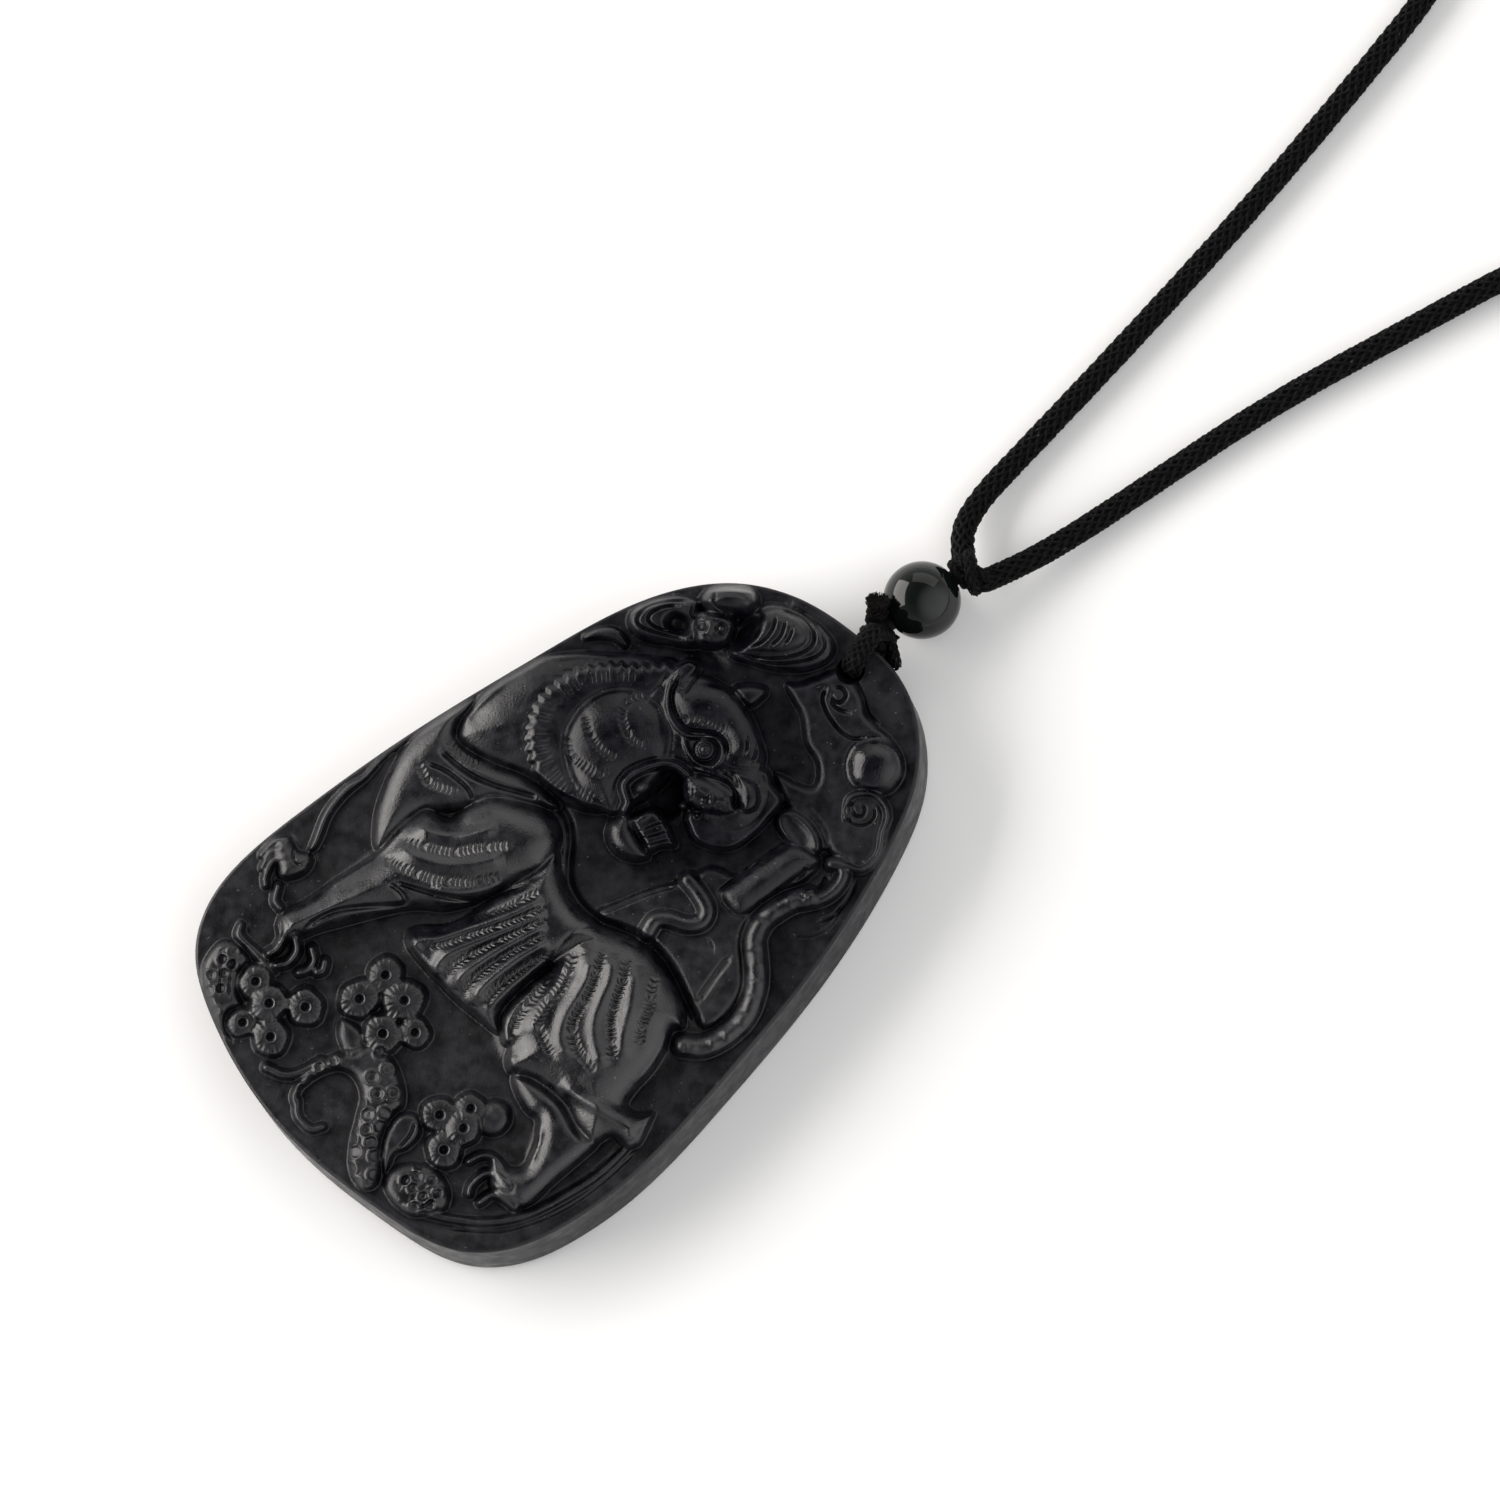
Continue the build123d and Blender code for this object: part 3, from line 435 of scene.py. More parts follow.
# Cut lines. Columns: half width, depth, line.
CUTS = [
    (0.30, 0.45, [(-7.6, 3.0), (-6.2, 3.1), (-4.8, 2.8), (-3.5, 2.0), (-2.2, 0.7), (-0.9, -0.3), (1, -0.65),
        (2.8, -0.35), (4.3, 0.5), (6, 1.25), (8, 1.4), (10, 1.05), (12, 0.55), (13.8, 0.1)]),
    (0.22, 0.45, [(-15.6, -0.9), (-13, -0.5), (-11, 0.3), (-9.2, 1.4), (-7.8, 2.3)]),
    (0.16, 0.35, [(-15.6, -2.3), (-14, -1.6), (-12, -1.3), (-10.9, -1.6)]),
    (0.20, 0.4, [(-3.1, -2.7), (-3.7, -4.2), (-4.8, -6.4), (-6.4, -7.9), (-8.3, -9.1), (-10.0, -10.1)]),
    (0.22, 0.34, [(-11.9, -17.4), (-11.7, -15.9), (-11.1, -14.5), (-9.7, -12.6), (-8.5, -11.2),
        (-8.35, -10.5), (-9.3, -10.3), (-10.4, -10.6)]),
    (0.12, 0.25, [(0.2, 26.15), (1.2, 26.35), (2.2, 26.2), (3.2, 25.8), (4.2, 25.4), (5.3, 25.45)]),
    (0.13, 0.4, [(0.5, 24.3), (0.9, 23.6), (1.7, 23.2), (2.6, 23.0), (3.9, 22.95), (4.9, 23.3),
        (5.4, 24)]),
    (0.13, 0.4, [(0.8, 24.8), (1.3, 25.2), (1.9, 25.1), (2.1, 24.5), (1.7, 24.1), (1.2, 24.3)]),
    (0.13, 0.4, [(1.4, 23.9), (2.4, 23.95), (3.2, 24.4)]),
    (0.10, 0.25, [(8.8, 20.2), (8.7, 19.4), (9.3, 18.95), (10.1, 19.0), (10.7, 19.6), (10.7, 20.5),
        (10, 21.1)]),
    (0.11, 0.35, [(9.1, 19.7), (9.6, 19.5), (10, 19.9), (9.7, 20.4), (9.2, 20.4)]),
    (0.13, 0.3, [(2.1, 0.2), (2.7, 2), (3.4, 4), (4.4, 6)]),
    (0.12, 0.2, [(2.5, 0.2), (3.1, 2), (3.8, 4), (4.6, 5.6)]),
    (0.13, 0.35, [(7.2, 7.8), (7.3, 10), (7.6, 12), (7.85, 14.1)]),
    (0.12, 0.2, [(10.1, 14.2), (10.4, 13.6), (10.4, 12.8)]),
    (0.25, 0.3, [(11.6, 5.2), (12, 3.4), (12.6, 1.2)]),
    (0.10, 0.2, [(9.4, 4.9), (10, 4.8), (10.5, 4.5)]),
    (0.13, 0.35, [(-7.7, 16.4), (-7.2, 15.3), (-6.2, 14.6), (-5.1, 14.3), (-4.1, 14.4), (-3.3, 15.1),
        (-2.4, 15.8), (-1.4, 15.8), (-0.6, 15.2)]),
    (0.10, 0.3, [(-1.7, 6.5), (-0.9, 6.3), (0.1, 6.05), (1.2, 5.8)]),
    (0.08, 0.25, [(-0.5, 6.5), (-0.2, 7.4), (0.1, 8.3)]),
    (0.08, 0.25, [(0.1, 6.3), (0.6, 7.3), (0.9, 8.1)]),
    (0.08, 0.25, [(0.7, 6.1), (1.2, 7.1), (1.6, 7.8)]),
    (0.10, 0.3, [(-6.9, 17.9), (-6.7, 16.8), (-6.4, 15.8)]),
    (0.10, 0.25, [(-8.0, 17.4), (-8.1, 16.5), (-7.7, 15.5)]),
    (0.11, 0.25, [(0.3, 14.4), (1.1, 14.7), (2, 14.4)]),
    (0.11, 0.25, [(0.0, 14.0), (0.9, 14.4), (1.5, 14.3)]),
    (0.22, 0.55, [(2.4, 13.5), (2.9, 13.2), (3.2, 13.5)]),
    (0.12, 0.3, [(-1.1, 12.7), (0.0, 13.4), (1.2, 13.9), (2.2, 13.8), (2.9, 13.2)]),
    (0.10, 0.3, [(-0.7, 17.3), (-0.1, 16.9), (0.3, 16.3)]),
    (0.10, 0.3, [(0.4, 17.4), (0.9, 16.8), (1.1, 16.2)]),
    (0.12, 0.35, [(-11.9, 20.9), (-12.9, 19.7), (-13.6, 18.3), (-13.6, 17.3), (-13.1, 16.85), (-12.2, 17.1),
        (-10.9, 17.9), (-9.8, 18.7)]),
    (0.12, 0.35, [(-12.1, 20.1), (-12.8, 19.2), (-13.1, 18.2), (-12.8, 17.6), (-11.9, 17.7),
        (-10.9, 18.3)]),
    (0.12, 0.35, [(-6.6, 25.75), (-5.0, 26.5), (-3.6, 26.5), (-2.8, 25.6), (-3.2, 24.0), (-4.6, 22.2),
        (-6.0, 21.1)]),
    (0.12, 0.35, [(-5.6, 26.75), (-3.6, 26.95), (-2.2, 26.5), (-1.9, 25.5), (-2.5, 24.1), (-3.8, 22.5),
        (-5.4, 21.4)]),
    (0.11, 0.3, [(-6.5, 25.2), (-5.8, 24.2), (-5.6, 23.0), (-5.9, 22.0)]),
    (0.11, 0.3, [(-5.7, 25.5), (-5.0, 24.4), (-4.9, 23.2)]),
    (0.10, 0.25, [(-4.9, 25.6), (-4.4, 24.7), (-4.3, 24.0)]),
    (0.10, 0.3, [(-11.1, 23.0), (-10.4, 22.2), (-9.5, 22.4), (-8.7, 22.9), (-8.1, 23.6)]),
    (0.10, 0.25, [(-11.4, 21), (-11, 20.4), (-10.5, 20.4), (-10.3, 21.1)]),
    (0.09, 0.25, [(-9.3, 19.9), (-8.9, 20.1), (-8.4, 20.1)]),
    (0.10, 0.2, [(17.4, -9.5), (17.5, -11.5), (17.5, -13.5)]),
    (0.09, 0.15, [(18.5, -10), (18.6, -13), (18.4, -16), (17.6, -19), (16.2, -21.8), (13.6, -24.4)]),
    (0.14, 0.3, [(12, 12.6), (11.7, 12.4), (11.3, 12.5)]),
    (0.2, 0.35, [(11.7, 14.9), (12.1, 14.3), (12.2, 13.6)]),
    (0.14, 0.2, [(13.6, 16.2), (14.2, 15), (14.5, 13.4), (14.1, 12)]),
    (0.12, 0.15, [(14.3, 14.2), (14.9, 12.8), (14.7, 11.2), (13.6, 9.8)]),
    (0.14, 0.3, [(5.3, -21), (5.9, -22), (6.1, -23.4)]),
    (0.10, 0.2, [(8.6, -23.0), (8.2, -24.2), (8.6, -25.4)]),
    (0.10, 0.2, [(9.8, -22.8), (9.6, -24.2), (9.9, -25.6)]),
    (0.10, 0.2, [(10.8, -23), (10.9, -24.4), (10.6, -25.4)]),
    (0.10, 0.2, [(-14.9, -23.6), (-13.8, -24.6), (-12.4, -26)]),
    (0.10, 0.2, [(-13.9, -23.2), (-12.9, -24.4), (-11.6, -25.6)]),
    (0.10, 0.2, [(-13.8, -18.6), (-13, -19.2), (-12.4, -19.9)]),
    (0.10, 0.25, [(-17.4, -14.3), (-16.6, -14.9), (-15.8, -14.7)]),
]

# Hollows. Columns: centre, long half axis, short half axis, turn of the long axis in degrees, depth.
HOLLOWS = [
    (-7.0, 22.5, 1.4, 0.8, 100, 1.5),
    (-11.0, 19.1, 1.0, 0.8, 20, 1.3),
    (-1.4, 9.9, 1.9, 1.25, -35, 0.85),
    (7.6, 15.4, 1.7, 0.65, 0, 0.4),
    (-7.6, 19.2, 1.6, 0.8, 20, 0.5),
    (13.0, -24.0, 2.0, 1.0, 40, 0.2),
]

# Rows of cut hair. Columns: spacing, half length of a hair, depth, lean, row's line.
HAIR_ROWS = [
    (0.42, 0.34, 0.13, 0.5, [(-8.5, 13.6), (-8.9, 12.5), (-8.5, 11.4), (-7.5, 10.8), (-6.3, 10.6),
        (-5.3, 11.1)]),
    (0.42, 0.32, 0.13, 0.2, [(-10.3, 9.2), (-9.4, 8.7), (-8.2, 8.3), (-6.8, 8.5), (-6.1, 8.9)]),
    (0.42, 0.32, 0.13, 0.2, [(-9.9, 7.0), (-8.7, 6.4), (-7.5, 6.5), (-6.2, 6.9), (-5.5, 7.8)]),
    (0.42, 0.32, 0.13, 0.4, [(-5.0, 14.6), (-4.5, 15.2), (-3.8, 15.7), (-2.8, 16.1), (-2.0, 16.4)]),
    (0.42, 0.34, 0.12, 0.3, [(-15.9, 0.1), (-15, -0.1), (-13.9, 0.0), (-12.6, 0.6)]),
    (0.42, 0.34, 0.12, 0.3, [(-16.1, -2.8), (-15.2, -3.1), (-14.2, -3.2), (-13.2, -2.7), (-12.2, -2.1)]),
    (0.42, 0.38, 0.15, 0.3, [(-6.4, -1.8), (-7.2, -2.9), (-7.9, -3.8), (-8.9, -5.4), (-10.4, -6.5),
        (-12.1, -7.5)]),
    (0.42, 0.38, 0.15, 0.3, [(-5.0, -3.8), (-6.3, -6.0), (-8.1, -7.7), (-10.1, -8.8), (-12.1, -9.5)]),
    (0.42, 0.30, 0.13, 0.9, [(-0.8, -2.7), (-1.7, -5.5), (-2.8, -8.2), (-3.8, -10.5), (-4.6, -11.5)]),
    (0.42, 0.30, 0.13, 0.9, [(-2.0, -2.4), (-2.8, -5.2), (-4.2, -8.2), (-5.1, -10.4)]),
    (0.42, 0.32, 0.13, 0.9, [(-0.1, -3.3), (-0.9, -6.1), (-1.6, -8.8), (-2.0, -10.8), (-1.6, -11.9)]),
    (0.42, 0.32, 0.13, 0.9, [(0.8, -4.1), (0.2, -6.5), (-0.2, -9.1), (-0.1, -10.9), (0.3, -11.8)]),
    (0.42, 0.32, 0.13, 0.9, [(2.1, -5.0), (1.7, -7.1), (1.6, -9.2), (1.8, -11.0)]),
    (0.44, 0.38, 0.15, 0.5, [(9, 0), (9.7, -1), (10.5, -2), (11.2, -3.3), (12.2, -4.4)]),
    (0.44, 0.38, 0.17, 0.5, [(6.5, -0.8), (7.5, -2), (8.3, -3.3), (9.2, -4.6), (10.3, -5.5),
        (11.8, -6.7)]),
    (0.44, 0.38, 0.17, 0.5, [(4.9, -1.8), (5.7, -3.2), (6.4, -4.3), (7.0, -6.0), (7.6, -7.2), (9.2, -8.1),
        (11.6, -8.3)]),
    (0.44, 0.38, 0.16, 0.5, [(3.4, -3.4), (4.2, -4.8), (4.8, -6.1), (5.1, -7.8), (6.1, -9.2),
        (8.4, -9.9)]),
    (0.44, 0.36, 0.16, 0.5, [(2.9, -5.0), (3.6, -6.2), (4.0, -7.8), (4.2, -9.4), (4.9, -10.9)]),
    (0.42, 0.55, 0.055, 0.0, [(-10.0, 14.2), (-11.5, 12.5), (-12.5, 10.9), (-12.8, 9.2), (-12.7, 7.6),
        (-11.7, 6.0), (-10.3, 4.9), (-8.6, 4.4), (-6.6, 4.6), (-4.8, 5.4)]),
    (1.5, 0.8, 0.14, 0.15, TAIL),
]

# Long swellings between the stripes. Columns: half width, height, line.
SWELLS = [
    (0.55, 0.30, [(7.4, -0.4), (8.6, -1.8), (9.8, -3.3), (11, -4.9), (12.4, -5.9)]),
    (0.55, 0.32, [(5.4, -1.2), (6.8, -2.6), (7.6, -4.2), (8.6, -5.8), (10, -6.8), (11.8, -7.5)]),
    (0.55, 0.34, [(4.2, -2.6), (5.4, -3.8), (6.1, -5.4), (6.7, -7), (7.9, -8.6), (9.6, -9)]),
    (0.50, 0.34, [(3.3, -4.2), (4.3, -5.2), (4.8, -6.8), (5.3, -8.4), (6.2, -10)]),
    (0.24, 0.55, [(-1.35, 6.6), (-1.3, 7.3), (-1.2, 8.0), (-0.9, 8.6)]),
    (0.5, 0.5, [(-2.7, 8.2), (-2.6, 9.0), (-2.2, 9.7)]),
    (0.5, 0.35, [(2.9, -6.5), (2.95, -9.5), (3.7, -11.1), (5.2, -12), (7.4, -12.8)]),
    (0.6, 0.3, [(-6.2, -11.9), (-5.2, -12.3), (-4.4, -12.2)]),
    (0.45, 0.34, [(3.1, -6.4), (3.5, -8), (3.7, -9.8), (4.6, -11.3), (6, -12)]),
    (0.5, 0.30, [(-8, -1.4), (-9.2, -3.6), (-10.8, -5.2), (-12.6, -6.4)]),
    (0.5, 0.30, [(-5.9, -2.6), (-6.8, -4.3), (-8.2, -6.2), (-10, -7.5), (-12.2, -8.4)]),
    (0.45, 0.28, [(-4.3, -4), (-5, -5.6), (-6.3, -7.2), (-8, -8.3)]),
    (0.42, 0.42, [(-1.4, -2.5), (-2.3, -5.4), (-3.6, -8.3), (-4.6, -10.7), (-5.8, -11.7)]),
    (0.42, 0.42, [(-0.45, -2.9), (-1.3, -5.7), (-2.3, -8.4), (-3.0, -10.6), (-2.9, -11.8), (-2.2, -12.3)]),
    (0.42, 0.42, [(0.3, -3.5), (-0.4, -6.3), (-0.9, -9.2), (-1.0, -11.2), (-0.4, -12.1)]),
    (0.42, 0.40, [(1.4, -4.3), (0.9, -6.7), (0.7, -9.0), (0.8, -10.8), (1.4, -11.9)]),
    (0.40, 0.32, [(2.5, -5.4), (2.25, -7.6), (2.25, -9.8), (2.6, -11.4)]),
    (0.5, 0.35, [(-6.1, -11.8), (-5, -12.3), (-3.4, -12.4), (-1.6, -12.4)]),
    (0.4, 0.3, [(12.9, -1.6), (13.6, -3), (14.1, -4.6), (14.4, -6.6)]),
    (0.5, 0.35, [(10.4, -10.8), (12.6, -10.3), (14.6, -9.4), (16.4, -8.4)]),
    (0.3, 0.35, [(17.0, -7.2), (17.5, -8.2), (17.9, -9.6)]),
    (0.35, 0.4, [(11.7, -14.0), (12.6, -14.8), (13.3, -15.9), (13.8, -16.9)]),
    (0.17, 0.35, [(-8.2, 17.6), (-8.0, 16.3), (-7.5, 15.2), (-6.4, 14.2), (-5.2, 13.8), (-4.0, 13.9),
        (-3.1, 14.6), (-2.3, 15.4), (-1.4, 15.4), (-0.7, 14.7), (-0.6, 13.7)]),
    (0.15, 0.28, [(-0.9, 13.5), (-1.8, 13.1), (-3.1, 13.3), (-4.1, 13.8)]),
    (0.25, 0.3, [(-9.6, 21.4), (-9.1, 20.7), (-8.8, 19.9)]),
    (0.2, 0.3, [(-9.9, 21.2), (-9.3, 21.7), (-8.6, 22.2)]),
    (0.16, 0.3, [(-6.85, 26.7), (-6.5, 26.95), (-6.15, 26.7), (-6.4, 26.35), (-6.8, 26.5)]),
    (0.3, 0.3, [(-12.95, -6), (-12.75, -9), (-12.95, -12), (-13.3, -14.6)]),
    (0.35, 0.3, [(-16.7, 7.5), (-16.6, 5.2), (-16.5, 3), (-16.1, 1.4)]),
    (0.3, 0.25, [(-12.6, 13.5), (-14.2, 12), (-15.6, 10)]),
]

# Teeth. Columns: centre, radius, height of each tooth's top.
TEETH = [
    (0.2, 10.2, 0.34, 2.5),
    (0.8, 10.3, 0.26, 2.3),
    (1.5, 10.5, 0.26, 2.3),
]

# Ring marks on the branches. Columns: branch line, half width of their scatter, count, radius.
RING_MARKS = [
    ([(0.4, -20.6), (2, -21.6), (2.4, -23.2), (3.8, -25), (5.6, -26.6)], 1.2, 34, 0.55),
    ([(-2.4, -22), (-2.8, -24.2), (-2.6, -26.2)], 0.3, 6, 0.4),
    ([(-14.6, -23.4), (-13.6, -25), (-12, -26.8)], 0.7, 12, 0.45),
    ([(8.4, -23.8), (10.2, -24), (10.6, -25.2)], 0.9, 12, 0.45),
]
RING_TRIES = 12
RING_HEIGHT, RING_WIDTH = 0.13, 0.12
DOT_DEPTH, DOT_SHARE = 0.12, 0.75

# Places on the plaque: the pearl, the head's middle, the tiger's eye, the bat's eyes and the muzzle
PEARL = (7.6, 23.1)
HEAD = (-2.7, 12.8)
EYE = (-2.1, 14.25)
EYE_HALF_AXES = (1.55, 1.0)
EYE_TURN = 8.0
EYE_SOCKET_DEPTH = 0.55
EYEBALL_RADIUS, EYEBALL_HEIGHT = 0.85, 0.75
EYE_RINGS = (0.27, 0.58)
EYE_RING_DEPTH, EYE_RING_WIDTH = 0.13, 0.08
BAT_EYES = [(-9.6, 20.35), (-8.5, 21.35)]
MUZZLE = (0.95, 11.3)
WHISKER_DOTS = 30

# The carving's finish: times that it is softened, how lines fade at their ends, and the troughs round shapes
SMOOTHINGS = 3
CUT_FADE, CUT_END_DEPTH = 0.4, 0.3
SWELL_FADE = 0.9
HAIR_FADE = 0.3
HAIR_GROOVE = 0.4
TROUGH_DEPTH = 0.12
TROUGH_WIDTH = 0.22
ROPE_TROUGH_WIDTH = 0.18
SAME_POINT = 1e-6


def heading(degrees):
    """Cosine and sine of an angle."""
    return math.cos(math.radians(degrees)), math.sin(math.radians(degrees))


def turned(points, degrees=PLAQUE_TURN):
    """Points in the plaque's axes as points in the CAD frame; heights stay."""
    points = np.asarray(points, float)
    cos, sin = heading(degrees)
    result = points.copy()
    result[..., 0] = points[..., 0] * cos - points[..., 1] * sin
    result[..., 1] = points[..., 0] * sin + points[..., 1] * cos
    return result


def curve(points, closed=False, pieces=6):
    """A smooth line through given points."""
    p = np.array(points, float)
    if closed:
        ring = np.vstack([p[-1:], p, p[:2]])
    else:
        ring = np.vstack([2 * p[0] - p[1], p, 2 * p[-1] - p[-2]])
    t = np.linspace(0, 1, pieces, endpoint=False)[:, None]
    spans = []
    for a, b, c, d in zip(ring, ring[1:], ring[2:], ring[3:]):
        square = (2 * a - 5 * b + 4 * c - d) * t**2
        cube = (3 * b - a - 3 * c + d) * t**3
        spans.append(b + ((c - a) * t + square + cube) / 2)
    line = np.vstack(spans)
    return line if closed else np.vstack([line, p[-1:]])


def closed_up(line):
    """The line with its first point again at its end."""
    return np.vstack([line, line[:1]])


def lengths(line):
    """The way along a line to each of its points."""
    return np.concatenate([[0], np.cumsum(np.linalg.norm(np.diff(line, axis=0), axis=1))])


def read_along(places, along, values):
    """Values that are known at some ways along a line, read at other places."""
    return np.stack([np.interp(places, along, values[:, k]) for k in range(values.shape[1])], axis=1)


def spaced(line, step):
    """The line again, with points about step apart."""
    along = lengths(line)
    places = np.linspace(0, along[-1], max(2, round(along[-1] / step) + 1))
    return read_along(places, along, line)


def round_angles(count):
    """Angles of this many points spread evenly round a ring."""
    return np.linspace(0, 2 * math.pi, count + 1)[:-1]


def unit(vector):
    """The vector at length one."""
    return vector / np.linalg.norm(vector)


def directions(line):
    """The unit vector ahead at each point of a line."""
    ahead = np.gradient(line, axis=0)
    return ahead / np.linalg.norm(ahead, axis=1, keepdims=True)


def serrated(points, tooth, reach):
    """A smooth line with small teeth on its right."""
    line = spaced(curve(points), tooth)
    ahead = directions(line)
    outward = np.stack([ahead[:, 1], -ahead[:, 0]], axis=1)
    tips = line[:-1] * (1 - TOOTH_TIP_SHARE) + line[1:] * TOOTH_TIP_SHARE + outward[:-1] * reach
    return np.stack([line[:-1], tips], axis=1).reshape(-1, 2)


def nearest(u, v, line):
    """For every grid point: distance to the line, and way along it."""
    best = np.full(u.shape, np.inf)
    way = np.zeros(u.shape)
    start = 0.0
    for (au, av), (bu, bv) in zip(line, line[1:]):
        du, dv = bu - au, bv - av
        long = math.hypot(du, dv)
        if long < SAME_POINT:
            continue
        share = np.clip(((u - au) * du + (v - av) * dv) / long**2, 0, 1)
        off = np.hypot(u - au - share * du, v - av - share * dv)
        closer = off < best
        best = np.where(closer, off, best)
        way = np.where(closer, start + share * long, way)
        start += long
    return best, way


def within(u, v, line):
    """True for the grid points inside a closed line."""
    inside = np.zeros(u.shape, bool)
    for (au, av), (bu, bv) in zip(line, np.roll(line, -1, axis=0)):
        if av == bv:
            continue
        crosses = (av > v) != (bv > v)
        inside ^= crosses & (u < (bu - au) * (v - av) / (bv - av) + au)
    return inside


def bell(off, width, power=2):
    """1 in the middle and 0 well past the width; a higher power has steeper walls."""
    return np.exp(-((off / width) ** power))


def dome(off, radius):
    """A half circle's height over a distance from its middle, 0 past the radius."""
    return np.sqrt(np.clip(1 - (off / radius) ** 2, 0, 1))


def before_ends(way, fade, least=0.0):
    """1 along a line, falling to least at both of its ends."""
    return np.clip(np.minimum(way, way.max() - way) / fade, least, 1)


class Carving:
    """Heights over the plaque's ground on a grid, and the part that each grid point belongs to."""

    PARTS = ["ground", "tiger", "scenery"]

    def __init__(self, half_width, half_length):
        """A flat ground over the whole plaque."""
        self.u_line = np.arange(-half_width, half_width + GRID_STEP, GRID_STEP)
        self.v_line = np.arange(-half_length, half_length + GRID_STEP, GRID_STEP)
        self.u, self.v = np.meshgrid(self.u_line, self.v_line, indexing="ij")
        self.height = np.zeros(self.u.shape)
        self.part = np.zeros(self.u.shape, int)

    def window(self, line, reach):
        """The part of the grid within reach of a line."""
        low, high = line.min(axis=0) - reach, line.max(axis=0) + reach
        rows = slice(*np.searchsorted(self.u_line, [low[0], high[0]]))
        columns = slice(*np.searchsorted(self.v_line, [low[1], high[1]]))
        return rows, columns

    def along(self, points, reach):
        """The window round a smooth line, and its grid points' distance to the line and way along it."""
        line = curve(points)
        box = self.window(line, reach)
        return (box, *nearest(self.u[box], self.v[box], line))

    def around(self, u, v, reach):
        """The window round a point, and its grid points' offsets from the point."""
        box = self.window(np.array([[u, v]]), reach)
        return box, self.u[box] - u, self.v[box] - v

    def oval(self, u, v, long, short, turn):
        """For every grid point, its place in an oval: 0 in the middle, 1 on the rim."""
        cos, sin = heading(turn)
        along = ((self.u - u) * cos + (self.v - v) * sin) / long
        across = ((self.v - v) * cos - (self.u - u) * sin) / short
        return np.hypot(along, across)

    def raise_to(self, box, where, level, part):
        """Bring the ground up to level where it is lower."""
        higher = where & (level > self.height[box])
        self.height[box] = np.where(higher, level, self.height[box])
        self.part[box] = np.where(higher, self.PARTS.index(part), self.part[box])

    def mass(self, part, foot, top, shoulder, line):
        """A raised shape inside a closed line, with rounded shoulders and a narrow trough round it."""
        box = self.window(line, 3 * TROUGH_WIDTH)
        u, v = self.u[box], self.v[box]
        off, _ = nearest(u, v, closed_up(line))
        inside = within(u, v, line)
        self.height[box] -= np.where(inside, 0, TROUGH_DEPTH * bell(off, TROUGH_WIDTH))
        rise = np.sqrt(1 - (1 - np.clip(off / shoulder, 0, 1)) ** 2)
        self.raise_to(box, inside, foot + (top - foot) * rise, part)

    def rope(self, part, foot, half_width, high, points):
        """A round rope along a line, with a narrow trough beside it."""
        box, off, _ = self.along(points, 2 * half_width)
        trough = TROUGH_DEPTH * bell(off - half_width, ROPE_TROUGH_WIDTH)
        self.height[box] -= np.where(off > half_width, trough, 0)
        level = foot + (high - foot) * dome(off, half_width)
        self.raise_to(box, off < half_width, level, part)

    def cut(self, half_width, depth, points):
        """A groove along a line, shallower at its ends."""
        box, off, way = self.along(points, 3 * half_width)
        self.height[box] -= depth * before_ends(way, CUT_FADE, CUT_END_DEPTH) * bell(off, half_width)

    def swell(self, half_width, high, points):
        """A soft swelling along a line."""
        box, off, way = self.along(points, 3 * half_width)
        self.height[box] += high * before_ends(way, SWELL_FADE) * bell(off, half_width)

    def hollow(self, u, v, long, short, turn, depth):
        """An oval hollow with a steep wall."""
        self.height -= depth * np.exp(-(self.oval(u, v, long, short, turn) ** 4))

    def hair(self, spacing, reach, depth, lean, points):
        """A row of short cut hairs across a line, in a shallow groove."""
        box, off, way = self.along(points, 1.6 * reach)
        uneven = 0.12 * np.sin(2.3 * way) + 0.08 * np.sin(5.1 * way + 1)
        wave = 0.5 + 0.5 * np.cos(2 * math.pi * (way + lean * off + uneven) / spacing)
        self.height[box] -= HAIR_GROOVE * depth * bell(off, reach)
        self.height[box] -= depth * before_ends(way, HAIR_FADE) * wave * bell(off, reach, 4)

    def blossom(self, u, v, radius, high, rng):
        """A flat blossom with fine radial petals, an uneven edge and a bored middle."""
        box, across, up = self.around(u, v, 1.4 * radius)
        off, angle = np.hypot(across, up), np.arctan2(up, across)
        first, second = rng.uniform(0, 6), rng.uniform(0, 6)
        edge = radius * (1 + 0.05 * np.cos(2 * angle + first) + 0.035 * np.cos(LOBES * angle + second))
        share = off / edge
        level = 0.1 + high * (0.9 - 0.1 * share**2) * np.clip(1 - share**12, 0, 1) ** 0.5
        petals = PETALS * angle + 0.9 * np.sin(3 * angle + first)
        level -= PETAL_DEPTH * (0.5 + 0.5 * np.cos(petals)) ** 2 * np.clip(share * 2.0 - 0.5, 0, 1)
        level -= LOBE_DEPTH * (0.5 + 0.5 * np.cos(LOBES * angle + second)) ** 6 * share
        level -= MIDDLE_DEPTH * bell(off, MIDDLE_RADIUS, 4)
        self.raise_to(box, share < 1, level, "scenery")

    def tooth(self, u, v, radius, top):
        """A small round tooth."""
        box, across, up = self.around(u, v, 1.2 * radius)
        off = np.hypot(across, up)
        self.raise_to(box, off < radius, top - 0.5 * (off / radius) ** 2, "tiger")

